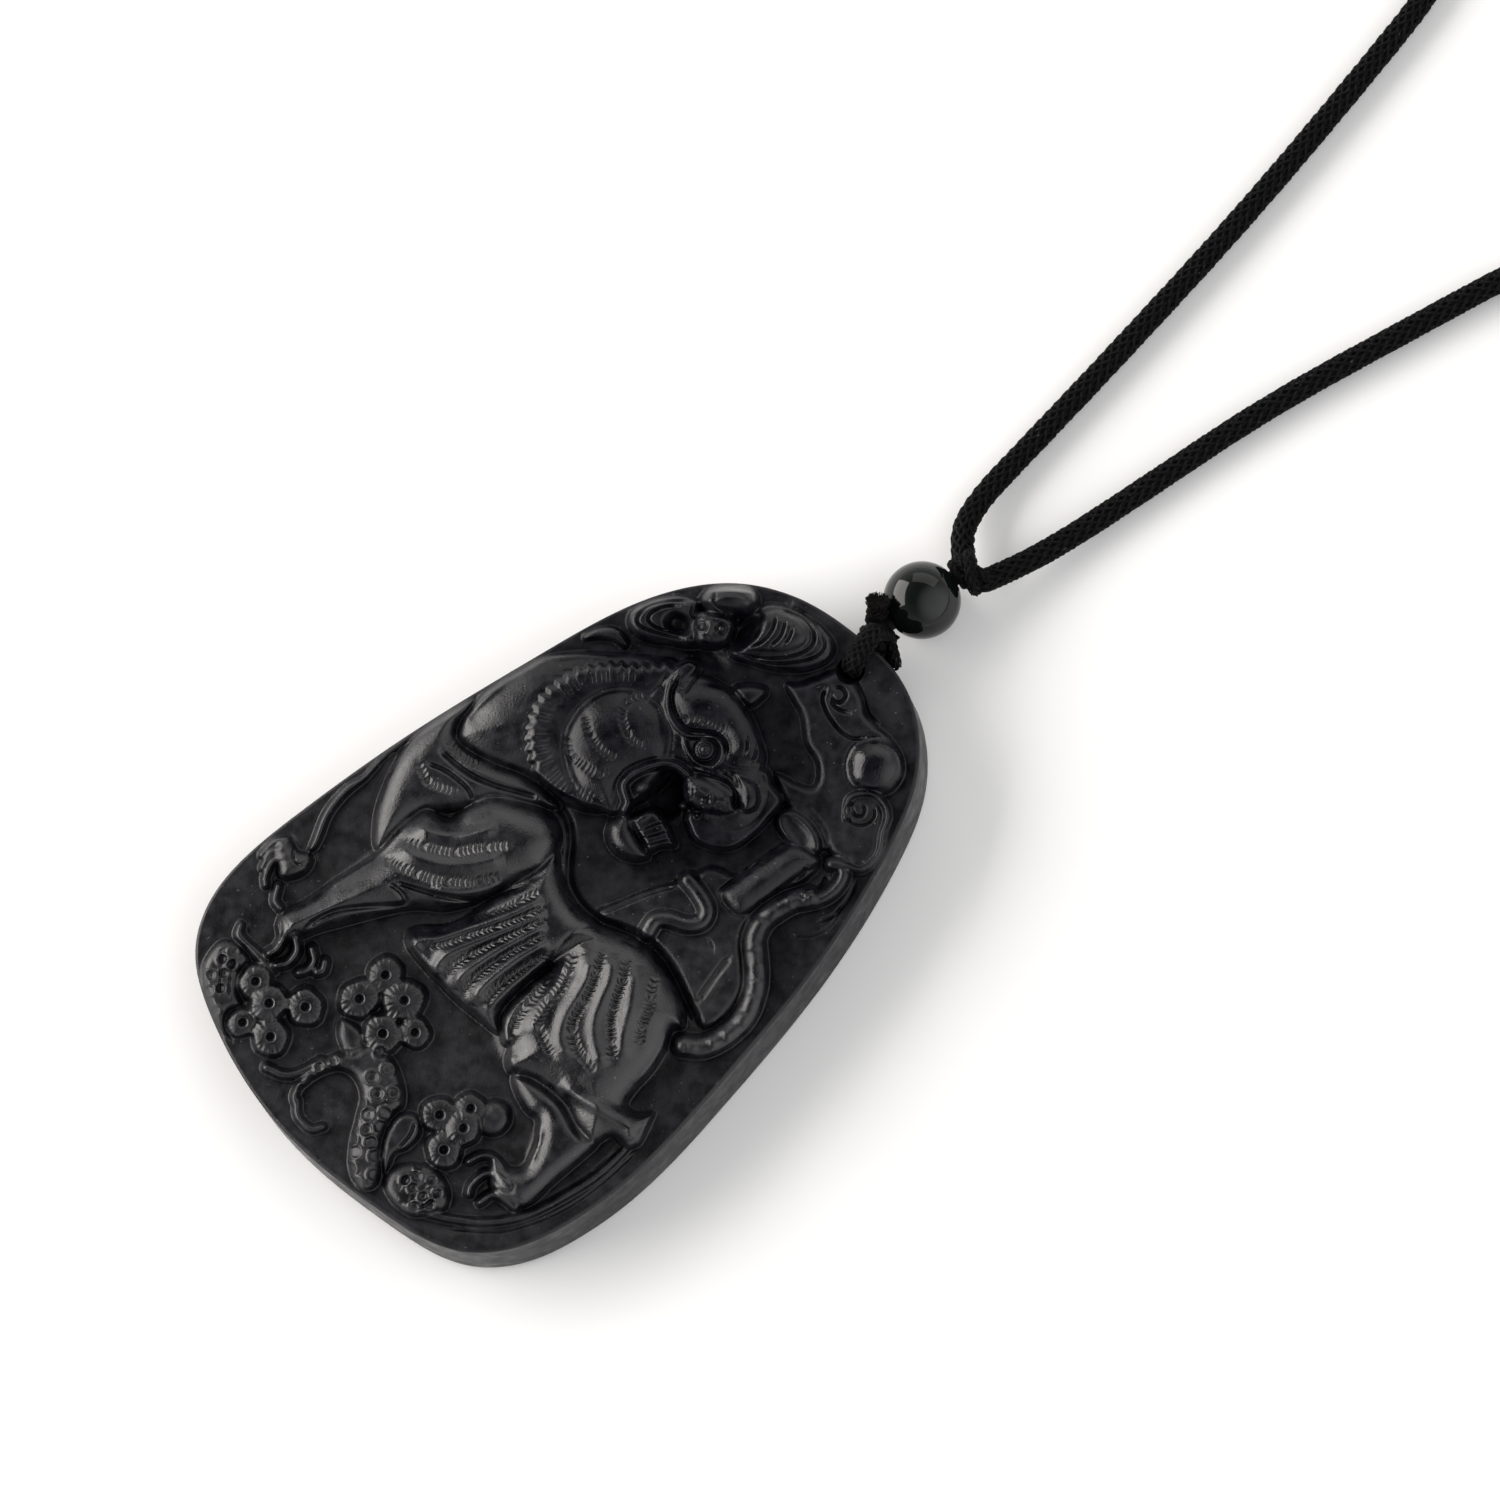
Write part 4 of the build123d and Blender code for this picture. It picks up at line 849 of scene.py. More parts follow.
    def rings(self, line, width, count, radius, rng):
        """Small ring marks scattered along a branch."""
        line = spaced(curve(line), 0.1)
        made = []
        for _ in range(RING_TRIES * count):
            u, v = line[rng.randrange(len(line))]
            u += rng.uniform(-width, width)
            v += rng.uniform(-width, width)
            crowded = any(math.hypot(u - a, v - b) < 1.9 * radius for a, b in made)
            if crowded or len(made) == count:
                continue
            made.append((u, v))
            box, across, up = self.around(u, v, 2.2 * radius)
            off = np.hypot(across, up)
            raised = self.part[box] == self.PARTS.index("scenery")
            mark = RING_HEIGHT * bell(off - radius, RING_WIDTH)
            mark -= DOT_DEPTH * bell(off, DOT_SHARE * radius, 4)
            self.height[box] += np.where(raised, mark, 0)

    def smooth(self, times):
        """Soften the creases a little."""
        for _ in range(times):
            for axis in (0, 1):
                beside = np.roll(self.height, 1, axis) + np.roll(self.height, -1, axis)
                self.height = 0.5 * self.height + 0.25 * beside

    def eye(self):
        """The tiger's eye: an almond socket, a ringed ball and its pupil."""
        socket = self.oval(*EYE, *EYE_HALF_AXES, EYE_TURN)
        ball = np.hypot(self.u - EYE[0], self.v - EYE[1])
        self.height -= EYE_SOCKET_DEPTH * np.exp(-(socket**6) * 1.2)
        self.height += EYEBALL_HEIGHT * dome(ball, EYEBALL_RADIUS)
        for radius in EYE_RINGS:
            self.height -= EYE_RING_DEPTH * bell(ball - radius, EYE_RING_WIDTH)

    def bat_eye(self, u, v):
        """A ringed dot."""
        off = np.hypot(self.u - u, self.v - v)
        self.height += 0.18 * bell(off, 0.2) - 0.16 * bell(off - 0.38, 0.1)

    def whisker_dots(self, rng):
        """Small raised dots on the muzzle."""
        for _ in range(WHISKER_DOTS):
            far, rise = rng.uniform(-1.6, 1.6), rng.uniform(-0.1, 1.5)
            u, v = MUZZLE[0] + far + 0.25 * rise, MUZZLE[1] + rise + 0.3 * far
            box, across, up = self.around(u, v, 0.4)
            self.height[box] += 0.1 * bell(np.hypot(across, up), 0.12)


def carve(half_width, half_length):
    """The whole carving."""
    carving = Carving(half_width, half_length)
    rng = random.Random(SEED)
    for number, (*levels, points) in enumerate(MASSES):
        carving.mass(*levels, curve(points, closed=True))
        if number == MANE_AFTER:
            mane = np.vstack([serrated(MANE_EDGE, MANE_TOOTH, MANE_REACH), curve(MANE_UNDER)])
            carving.mass("tiger", *MANE_LEVELS, mane)
    for row in ROPES:
        carving.rope(*row)
    for row in BLOSSOMS:
        carving.blossom(*row, rng)
    carving.smooth(SMOOTHINGS)
    for row in SWELLS:
        carving.swell(*row)
    for row in HOLLOWS:
        carving.hollow(*row)
    for row in TEETH:
        carving.tooth(*row)
    for row in CUTS:
        carving.cut(*row)
    for row in HAIR_ROWS:
        carving.hair(*row)
    carving.eye()
    for place in BAT_EYES:
        carving.bat_eye(*place)
    carving.whisker_dots(rng)
    for row in RING_MARKS:
        carving.rings(*row, rng)
    return carving


def make_mesh(name, points, faces, normals=None, uv=None):
    """A mesh object from points in millimetres and an array of faces with equal corner counts."""
    points, faces = np.asarray(points, float), np.asarray(faces, np.int32)
    mesh = bpy.data.meshes.new(name)
    mesh.vertices.add(len(points))
    mesh.vertices.foreach_set("co", (points * MM).astype(np.float32).ravel())
    mesh.loops.add(faces.size)
    mesh.loops.foreach_set("vertex_index", faces.ravel())
    mesh.polygons.add(len(faces))
    mesh.polygons.foreach_set("loop_start", np.arange(0, faces.size, faces.shape[1], dtype=np.int32))
    mesh.update(calc_edges=True)
    mesh.polygons.foreach_set("use_smooth", np.ones(len(faces), bool))
    if uv is not None:
        layer = mesh.uv_layers.new(name="lay")
        layer.data.foreach_set("uv", np.asarray(uv, np.float32)[faces.ravel()].ravel())
    if normals is not None:
        mesh.normals_split_custom_set_from_vertices(normals.astype(np.float32))
    mesh.update()
    obj = bpy.data.objects.new(name, mesh)
    bpy.context.scene.collection.objects.link(obj)
    return obj


def finish_piece(obj, material, slot, *nodes):
    """Give a piece its material and its place in the object."""
    obj.data.materials.append(material)
    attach(obj, "root")
    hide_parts(*nodes)
    return obj


def plaque_outline():
    """The plaque's outline in its own axes, read from the upright wall of its CAD node."""
    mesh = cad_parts["plaque"].data
    points = np.array([v.co for v in mesh.vertices], float) / MM
    wall = points[np.abs(points[:, 2] - BACK_EDGE_RADIUS) < OUTLINE_LEVEL_SLACK][:, :2]
    flat = np.unique(turned(wall, -PLAQUE_TURN).round(3), axis=0)
    flat = flat[np.argsort(np.arctan2(flat[:, 1], flat[:, 0]))]
    apart = np.linalg.norm(flat - np.roll(flat, 1, axis=0), axis=1)
    flat = spaced(closed_up(flat[apart > OUTLINE_LEAST_GAP]), OUTLINE_STEPS[0])[:-1]
    return spaced(np.vstack([curve(flat, closed=True), flat[:1]]), OUTLINE_STEPS[1])[:-1]


def bail_way():
    """Unit vector, in the plaque's axes, that the bail cord runs out over the top edge."""
    return np.array(heading(90 + BAIL_LEAN))


def hole_slope():
    """The angle that the hole dives at, from the face to the top edge."""
    return math.atan2(PLAQUE_THICK - HOLE_EXIT_HEIGHT, HOLE_REACH)


def punched(points, centre, long_way, long, short):
    """Points inside an oval moved out to its rim, and which of them were inside."""
    across = np.array([-long_way[1], long_way[0]])
    off = points - centre
    share = np.hypot(off @ long_way / long, off @ across / short)
    rim_place = centre + off / np.maximum(share, 1e-6)[..., None]
    return np.where((share < 1)[..., None], rim_place, points), share < 0.999


def sampled(grid, carving, u, v):
    """A grid's value at any points."""
    i = np.clip((u - carving.u_line[0]) / GRID_STEP, 0, len(carving.u_line) - 1.001)
    j = np.clip((v - carving.v_line[0]) / GRID_STEP, 0, len(carving.v_line) - 1.001)
    i0, j0 = i.astype(int), j.astype(int)
    a, b = i - i0, j - j0
    low = grid[i0, j0] * (1 - b) + grid[i0, j0 + 1] * b
    high = grid[i0 + 1, j0] * (1 - b) + grid[i0 + 1, j0 + 1] * b
    return low * (1 - a) + high * a


def on_face(u, v, height, depth_in):
    """Points of the face, with the carving on the plate's rounded edge, fading out towards the outline."""
    depth = np.clip(depth_in, 0, TOP_EDGE_RADIUS)
    arc = np.sqrt(np.clip(TOP_EDGE_RADIUS**2 - (TOP_EDGE_RADIUS - depth) ** 2, 0, None))
    share = np.clip((depth_in - EDGE_FADE[0]) / (EDGE_FADE[1] - EDGE_FADE[0]), 0, 1)
    carved = height * share * share * (3 - 2 * share)
    plate = PLAQUE_THICK - TOP_EDGE_RADIUS + arc
    return np.stack([u + LEAN[0] * carved, v + LEAN[1] * carved, plate + carved], axis=-1)


def grid_normals(points):
    """Normals of a grid of points, from its two directions."""
    normals = np.cross(np.gradient(points, axis=0), np.gradient(points, axis=1))
    return normals / np.maximum(np.linalg.norm(normals, axis=-1, keepdims=True), 1e-12)


def grid_faces(rows, columns, close_rows=False, close_columns=False):
    """Four-cornered faces between the points of a grid."""
    i = np.arange(rows if close_rows else rows - 1)
    j = np.arange(columns if close_columns else columns - 1)
    i, j = np.meshgrid(i, j, indexing="ij")
    i2, j2 = (i + 1) % rows, (j + 1) % columns
    corners = [i * columns + j, i2 * columns + j, i2 * columns + j2, i * columns + j2]
    return np.stack(corners, axis=-1).reshape(-1, 4)


def carved_faces(carving, outline, material):
    """The carved face in three parts of two halves: the tiger, the things round it, and the ground."""
    way = bail_way()
    flat = np.stack([carving.u, carving.v], axis=-1)
    moved, in_hole = punched(flat, HOLE_PLACE + MOUTH_SHIFT * way, way, MOUTH_LONG, HOLE_DIAMETER / 2)
    off, _ = nearest(carving.u, carving.v, closed_up(outline))
    depth_in = np.where(within(carving.u, carving.v, outline), off, -off)
    points = on_face(moved[..., 0], moved[..., 1], carving.height, depth_in)
    normals = grid_normals(points)
    faces = grid_faces(*depth_in.shape)
    inside_rim = (depth_in.ravel()[faces] > TOP_EDGE_RADIUS + RIM_BAND).all(axis=1)
    kept = inside_rim & ~in_hole.ravel()[faces].all(axis=1)
    owner = carving.part.ravel()[faces].max(axis=1)
    upper = carving.v.ravel()[faces[:, 0]] > 0
    for index, part in enumerate(Carving.PARTS):
        for half, there in (("upper", upper), ("lower", ~upper)):
            used, corners = np.unique(faces[kept & (owner == index) & there], return_inverse=True)
            place = turned(points.reshape(-1, 3)[used])
            facing = turned(normals.reshape(-1, 3)[used])
            piece = make_mesh(f"stone_{part}_{half}", place, corners.reshape(-1, 4), facing)
            finish_piece(piece, material, "carved_stone", "plaque")


def rim(carving, outline, material):
    """The plate's edge and back: a band of the face, the rounded edges, the wall and the flat back."""
    line = spaced(closed_up(outline), EDGE_STEP)[:-1]
    ahead = np.roll(line, -1, axis=0) - np.roll(line, 1, axis=0)
    ahead /= np.linalg.norm(ahead, axis=1, keepdims=True)
    inward = np.stack([-ahead[:, 1], ahead[:, 0]], axis=1)
    rings = []
    for depth in RIM_DEPTHS:
        flat = line + inward * depth
        height = sampled(carving.height, carving, flat[:, 0], flat[:, 1])
        ring = on_face(flat[:, 0], flat[:, 1], height, np.full(len(line), depth))
        ring[:, 2] -= RIM_SINK * max(0.0, depth - TOP_EDGE_RADIUS)
        rings.append(ring)
    for level in np.linspace(PLAQUE_THICK - TOP_EDGE_RADIUS, BACK_EDGE_RADIUS, WALL_RINGS)[1:]:
        rings.append(np.column_stack([line, np.full(len(line), level)]))
    for angle in np.radians(np.linspace(0, 90, BACK_EDGE_RINGS)[1:]):
        flat = line + inward * BACK_EDGE_RADIUS * (1 - math.cos(angle))
        level = BACK_EDGE_RADIUS * (1 - math.sin(angle))
        rings.append(np.column_stack([flat, np.full(len(line), level)]))
    for share in BACK_RING_SHARES:
        rings.append(np.column_stack([(line + inward * BACK_EDGE_RADIUS) * share, np.zeros(len(line))]))
    points = np.stack(rings, axis=0)
    on_wall = points[..., [0, 2]].copy()
    # The hole comes out of the top edge only, so the lower half is kept far away from it.
    on_wall[points[..., 1] < 0] += FAR_AWAY
    centre = np.array([HOLE_PLACE[0] + HOLE_REACH * bail_way()[0], HOLE_EXIT_HEIGHT])
    long = HOLE_DIAMETER / 2 / math.cos(hole_slope())
    moved, in_hole = punched(on_wall, centre, np.array([0.0, 1.0]), long, HOLE_DIAMETER / 2)
    points[..., 0] = np.where(in_hole, moved[..., 0], points[..., 0])
    points[..., 2] = np.where(in_hole, moved[..., 1], points[..., 2])
    faces = grid_faces(*points.shape[:2], close_columns=True)
    faces = faces[~in_hole.ravel()[faces].all(axis=1)]
    piece = make_mesh("stone_rim", turned(points.reshape(-1, 3)), faces)
    finish_piece(piece, material, "carved_stone", "plaque")


def hole_wall(outline, material):
    """The slanted hole's own wall, from the face to the top edge."""
    way = bail_way()
    across = np.array([-way[1], way[0]])
    dive = np.array([*(way * math.cos(hole_slope())), -math.sin(hole_slope())])
    top = outline[outline[:, 1] > TOP_OUTLINE_FROM]
    top = top[np.argsort(top[:, 0])]
    rows = []
    for angle in round_angles(HOLE_SIDES):
        flat = HOLE_PLACE + HOLE_DIAMETER / 2 * math.cos(angle) * across
        flat = flat + (MOUTH_SHIFT + MOUTH_LONG * math.sin(angle)) * way
        start = np.array([*flat, PLAQUE_THICK])
        reach = 0.0
        for _ in range(HOLE_TRIES):
            here = start + reach * dive
            reach += (np.interp(here[0], top[:, 0], top[:, 1]) - here[1]) / dive[1]
        rows.append([start + share * reach * dive for share in np.linspace(0, 1, HOLE_RINGS)])
    faces = grid_faces(HOLE_SIDES, HOLE_RINGS, close_rows=True)[:, ::-1]
    piece = make_mesh("stone_hole", turned(np.array(rows).reshape(-1, 3)), faces)
    finish_piece(piece, material, "carved_stone", "plaque")


def carried_frames(line, hint=(0, 0, 1)):
    """For every point of a line: the way ahead and two square directions that don't twist along it."""
    ahead = directions(line)
    side = np.array(hint, float)
    sides = []
    for way in ahead:
        side = unit(side - way * (side @ way))
        sides.append(side)
    return ahead, np.array(sides), np.cross(ahead, sides)


def tube_points(line, frames, angles, radii, half_wide, half_thick):
    """Points round a line; angles and radii have a row for each point of the line, or one row for all."""
    _, first, second = frames
    across = (np.cos(angles) * radii * half_wide)[..., None] * first[:, None]
    up = (np.sin(angles) * radii * half_thick)[..., None] * second[:, None]
    return line[:, None] + across + up


def cord_places(across, along):
    """Texture places of a grid of points: across the strand, and along the line."""
    return np.stack(np.broadcast_arrays(across * PLACE_WIDTH, along[:, None]), axis=-1).reshape(-1, 2)


def combined(patches):
    """Several patches of points, faces and texture places as one."""
    points, faces, places = zip(*patches)
    starts = np.cumsum([0] + [len(own) for own in points])
    faces = [own + start for own, start in zip(faces, starts)]
    return np.vstack(points), np.vstack(faces), np.vstack(places)


def cord_piece(name, patches, material, node_name):
    """A piece made of cord."""
    points, faces, places = combined(patches)
    return finish_piece(make_mesh(name, points, faces, uv=places), material, "braided_cord", node_name)


def over_under(count):
    """Whether a strand runs over (1) or under (-1) at this count of crossings, two over and two under."""
    wave = np.cos(math.pi / 2 * (count - 0.5))
    return np.tanh(CROSSING_STEEPNESS * wave) / math.tanh(CROSSING_STEEPNESS)


def braid(line, half_wide, half_thick, strands=16, lay=8.0, hint=(0, 0, 1)):
    """The patch of a tubular braid along a line: half of the strands wind one way, half the other."""
    frames = carried_frames(line, hint)
    along = lengths(line)
    each = strands // 2
    across = np.array(STRAND_ACROSS)
    half_angle = math.pi / each * STRAND_WIDTH / 2
    strip = grid_faces(len(line), len(across))
    patches = []
    for k in range(strands):
        number, wound = k % each, 1 if k < each else -1
        centre = 2 * math.pi * (number / each + wound * along / lay)
        over = wound * over_under(2 * number + wound * strands * along / lay)
        crown = STRAND_THICK * (1 - across**2)
        radii = 1 - STRAND_WAVE - STRAND_THICK + STRAND_WAVE * over[:, None] + crown
        angles = centre[:, None] + across * half_angle
        points = tube_points(line, frames, angles, radii, half_wide, half_thick)
        patches.append((points.reshape(-1, 3), strip[:, ::wound], cord_places(across, along)))
    core_radius = 1 - 2 * STRAND_WAVE - STRAND_THICK
    core = tube_points(line, frames, round_angles(CORE_SIDES)[None], core_radius, half_wide, half_thick)
    core_faces = grid_faces(len(line), CORE_SIDES, close_columns=True)
    patches.append((core.reshape(-1, 3), core_faces, np.zeros((len(line) * CORE_SIDES, 2))))
    return combined(patches)


def fine_braid(line, half_wide, half_thick, lay, strands=12):
    """The patch of a short braid along a line in the plaque's axes."""
    return braid(spaced(turned(line), FINE_STEP), half_wide, half_thick, strands, lay)


def tube(line, radius, sides):
    """The patch of a plain round tube with closed, rounded ends."""
    frames = carried_frames(line)
    ring = round_angles(sides)
    points = tube_points(line, frames, ring[None], radius, 1, 1)
    caps = {}
    for end, sign in ((0, -1), (-1, 1)):
        push = frames[0][end] * sign * radius * CAP_BULGE
        spokes = points[end] - line[end]
        caps[end] = [line[end] + push * share + spokes * math.sqrt(1 - share**2) for share in CAP_SHARES]
    whole = np.concatenate([caps[0][::-1], points, caps[-1]])
    places = cord_places(ring, lengths(whole.mean(axis=1)))
    return whole.reshape(-1, 3), grid_faces(len(whole), sides, close_columns=True), places


def coil(line, radius, wire, pitch):
    """The patch of a wire wound round a line."""
    fine = spaced(line, COIL_FRAME_STEP)
    along = lengths(fine)
    _, first, second = carried_frames(fine)
    way = np.linspace(0, along[-1], int(along[-1] / pitch * 2 * math.pi * radius / COIL_STEP))
    angle = 2 * math.pi * way[:, None] / pitch
    centre, a, b = (read_along(way, along, values) for values in (fine, first, second))
    return tube(centre + radius * (np.cos(angle) * a + np.sin(angle) * b), wire, COIL_SIDES)


def cord_line():
    """The neck cord's middle line: a smooth curve with the route's points as its control points."""
    data = bpy.data.curves.new("cord_line", "CURVE")
    data.dimensions = "3D"
    spline = data.splines.new("NURBS")
    spline.points.add(len(CORD_ROUTE) - 1)
    for point, place in zip(spline.points, CORD_ROUTE):
        point.co = (*(Vector(place) * MM), 1)
    spline.order_u = 3
    spline.use_endpoint_u = True
    spline.resolution_u = 32
    obj = bpy.data.objects.new("cord_line", data)
    mesh = bpy.data.meshes.new_from_object(obj)
    line = np.array([v.co for v in mesh.vertices], float) / MM
    bpy.data.objects.remove(obj)
    bpy.data.meshes.remove(mesh)
    return spaced(line, CORD_STEP)


def joining_knot(line, material):
    """The knot at the back of the neck: a thread wound tightly round the cord."""
    along = lengths(line)
    near = np.abs(along - JOINING_KNOT_SHARE * along[-1]) < JOINING_KNOT_LENGTH / 2 - JOINING_KNOT_END
    wire = JOINING_KNOT_WIRE
    turns = coil(line[near], JOINING_KNOT_DIAMETER / 2 - wire, wire, 2 * wire * JOINING_KNOT_PITCH)
    sleeve = tube(line[near], CORD_DIAMETER / 2 + JOINING_KNOT_SLEEVE, JOINING_KNOT_SIDES)
    return cord_piece("joining_knot_wraps", [turns, sleeve], material, "joining_knot")


def thread_axes():
    """Unit vectors in the plaque's axes: along the bead's thread, away from the plaque, and to its right."""
    cos, sin = heading(90 - THREAD_LEAN)
    return np.array([cos, sin, 0.0]), np.array([sin, -cos, 0.0])


def on_thread(far, side=0.0, up=0.0):
    """A point by the thread: far beyond the bead's centre, side to its right, up over its line."""
    way, right = thread_axes()
    return np.array([*BEAD_PLACE, BEAD_DIAMETER / 2]) + far * way + side * right + up * UP


def bead(material):
    """The bored round bead, lathed along its thread with softened bore edges."""
    radius, bore = BEAD_DIAMETER / 2, BEAD_BORE / 2
    mouth = bore + BORE_EDGE
    edge = math.asin(mouth / radius)
    end = math.sqrt(radius**2 - mouth**2)
    inner = [(end - far, bore + off) for far, off in BORE_PROFILE]
    angles = np.linspace(edge, math.pi - edge, BEAD_RINGS)
    outer = [(radius * math.cos(a), radius * math.sin(a)) for a in angles]
    profile = inner + outer + [(-far, off) for far, off in inner[::-1]]
    rows = []
    for far, off in profile:
        rows.append([on_thread(far, off * math.cos(a), off * math.sin(a)) for a in round_angles(BEAD_SIDES)])
    faces = grid_faces(len(rows), BEAD_SIDES, close_rows=True, close_columns=True)
    piece = make_mesh("bead_stone", turned(np.array(rows).reshape(-1, 3)), faces)
    finish_piece(piece, material, "bead_stone", "bead")


def rounded_corners(corners, radii):
    """A line through corners, each rounded by an arc of its radius."""
    corners = np.array(corners, float)
    line = [corners[0]]
    for before, corner, after, radius in zip(corners, corners[1:], corners[2:], radii):
        back, on = unit(before - corner), unit(after - corner)
        half = math.acos(np.clip(back @ on, -1, 1)) / 2
        middle = corner + unit(back + on) * radius / math.sin(half)
        start = corner + back * radius / math.tan(half) - middle
        end = corner + on * radius / math.tan(half) - middle
        sweep = math.pi - 2 * half
        for share in np.linspace(0, 1, CORNER_STEPS):
            a, b = math.sin((1 - share) * sweep), math.sin(share * sweep)
            line.append(middle + (a * start + b * end) / math.sin(sweep))
    return np.array(line + [corners[-1]])


def bail_line():
    """The bail cord's middle line in the plaque's axes: round the top edge, into the hole and out."""
    lift = PLAQUE_THICK + BAIL_THICK / 2 + BAIL_GAP
    slope = (PLAQUE_THICK - HOLE_EXIT_HEIGHT) / HOLE_REACH
    over_edge = HOLE_REACH + BAIL_THICK / 2 + BAIL_GAP
    beyond = HOLE_REACH + BAIL_PAST_HOLE
    low_end = BEAD_DIAMETER / 2 - BAIL_UNDER_THREAD
    corners = [
        (over_edge + BAIL_UPPER_END[0], low_end + BAIL_UPPER_END[1]),
        (over_edge, lift),
        ((PLAQUE_THICK - lift) / slope, lift),
        (beyond, PLAQUE_THICK - slope * beyond),
        (beyond + BAIL_LOWER_END, low_end),
    ]
    flat = rounded_corners(corners, [TOP_EDGE_RADIUS + BAIL_THICK / 2 + BAIL_GAP, BAIL_BEND, BAIL_BEND])
    way = bail_way()
    return np.array([[*(HOLE_PLACE + far * way), height] for far, height in flat])


def bail_cord(material):
    """The short braided cord through the hole, pressed flat."""
    way = bail_way()
    line = spaced(turned(bail_line()), BAIL_STEP)
    flat = turned([-way[1], way[0], 0.0])
    patch = braid(line, BAIL_WIDTH / 2, BAIL_THICK / 2, lay=BAIL_LAY, hint=flat)
    cord_piece("bail_cord_braid", [patch], material, "bail_loop")


def square_to(way):
    """Two unit vectors square to a direction and to each other."""
    first = unit(np.cross(way, UP))
    return first, np.cross(way, first)


def ring_line(centre, normal, radius, flat=1.0):
    """A closed ring round an axis, pressed flat in height."""
    first, second = square_to(unit(normal))
    angles = np.linspace(-0.5 * math.pi, 1.5 * math.pi, RING_STEPS)[:, None]
    off = radius * (np.cos(angles) * first + np.sin(angles) * second)
    return centre + off * np.array([1, 1, flat])


def wraps(rows, flat):
    """Patches of braided turns round the thread."""
    way, right = thread_axes()
    parts = []
    for far, side, size, thick, tilt, rise in rows:
        line = ring_line(on_thread(far, side), way + tilt * right + rise * UP, size, flat)
        parts.append(fine_braid(line, thick, thick, WRAP_LAY))
    return parts


def loose_cords(rows):
    """Patches of the cords that lie over the turns."""
    return [fine_braid(curve([on_thread(*place) for place in places]), *sizes) for *sizes, places in rows]


def bail_knot(material):
    """The wrapped knot under the bead, and the thread through the bead."""
    thread = spaced(turned([on_thread(far) for far in THREAD_ENDS]), THREAD_STEP)
    core = tube(thread, THREAD_RADIUS, THREAD_SIDES)
    parts = [*wraps(BAIL_WRAPS, BAIL_WRAP_FLATNESS), *loose_cords(BAIL_LOOSE), core]
    cord_piece("bail_knot_wraps", parts, material, "bail_knot")


def cut_end(material):
    """The knot's cut cord end, seen almost end on, with its singed fibres."""
    rng = random.Random(SEED + 1)
    root, tip = on_thread(*CUT_END_ROOT), on_thread(*CUT_END_TIP)
    way = unit(tip - root)
    first, second = square_to(way)
    parts = [fine_braid(np.array([root, tip]), *CUT_END_SIZE, strands=16)]
    for share, radius in CUT_END_RINGS:
        parts.append(fine_braid(ring_line(root + share * (tip - root), way, radius), *CUT_END_RING_SIZE))
    for number in range(FIBRES):
        angle = rng.uniform(0, 2 * math.pi)
        spread = first * math.cos(angle) + second * math.sin(angle)
        if number % 3:
            start = tip + spread * rng.uniform(0.0, 0.35) - way * rng.uniform(0.05, 0.2)
            end = tip + spread * rng.uniform(0.8, 1.0) + way * rng.uniform(-0.05, 0.12)
        else:
            start = tip + spread * rng.uniform(0.55, 0.85) - way * 0.25
            end = start + way * rng.uniform(0.22, 0.4) + spread * rng.uniform(0.0, 0.17)
        parts.append(tube(turned([start, (start + end) / 2, end]), FIBRE_RADIUS, FIBRE_SIDES))
    cord_piece("bail_knot_cut_end", parts, material, "bail_knot")


def collar_knot(material):
    """The neck cord's tight bend over the bead, bound by turns of the same cord."""
    route = np.array(CORD_ROUTE)
    start, end = route[0], route[-1]
    low = turned([on_thread(*place) for place in COLLAR_BEND])
    before = start + COLLAR_LEAD[0] * (route[1] - start)
    after = end + COLLAR_LEAD[1] * (route[-2] - end)
    bend = curve([before, start, *low, end, after], pieces=10)
    arch = braid(spaced(bend, COLLAR_STEP), *COLLAR_SIZE)
    parts = [arch, *loose_cords(COLLAR_LOOSE), *wraps(COLLAR_WRAPS, COLLAR_WRAP_FLATNESS)]
    cord_piece("collar_knot_wraps", parts, material, "collar_knot")


def new_material(name):
    """A material, its node tree and its main shader."""
    material = bpy.data.materials.new(name)
    material.use_nodes = True
    tree = material.node_tree
    tree.nodes.clear()
    shader = tree.nodes.new("ShaderNodeBsdfPrincipled")
    output = tree.nodes.new("ShaderNodeOutputMaterial")
    tree.links.new(shader.outputs["BSDF"], output.inputs["Surface"])
    return material, tree, shader


def connect(tree, made, inputs):
    """Give a node's inputs constants or other nodes' outputs."""
    for key, value in inputs.items():
        if isinstance(value, bpy.types.NodeSocket):
            tree.links.new(value, made.inputs[key])
        else:
            made.inputs[key].default_value = value


def node(tree, kind, inputs=None, **settings):
    """A shader node with its settings and inputs."""
    made = tree.nodes.new(kind)
    for key, value in settings.items():
        setattr(made, key, value)
    connect(tree, made, inputs or {})
    return made


def object_place(tree):
    """The place on an object."""
    return node(tree, "ShaderNodeTexCoord").outputs["Object"]


def noise(tree, place, scale, detail):
    """A noise over a place."""
    inputs = {"Vector": place, "Scale": scale, "Detail": detail}
    return node(tree, "ShaderNodeTexNoise", inputs).outputs["Fac"]


def mapped(tree, value, start, end, low, high):
    """A value that goes from low to high while another goes from start to end, and stays there beyond."""
    inputs = {"Value": value, "From Min": start, "From Max": end, "To Min": low, "To Max": high}
    return node(tree, "ShaderNodeMapRange", inputs).outputs["Result"]


def worked(tree, operation, first, second):
    """The value of a sum or product."""
    return node(tree, "ShaderNodeMath", {0: first, 1: second}, operation=operation).outputs["Value"]


def measured(tree, operation, first, second):
    """The number that comes from two vectors."""
    return node(tree, "ShaderNodeVectorMath", {0: first, 1: second}, operation=operation).outputs["Value"]


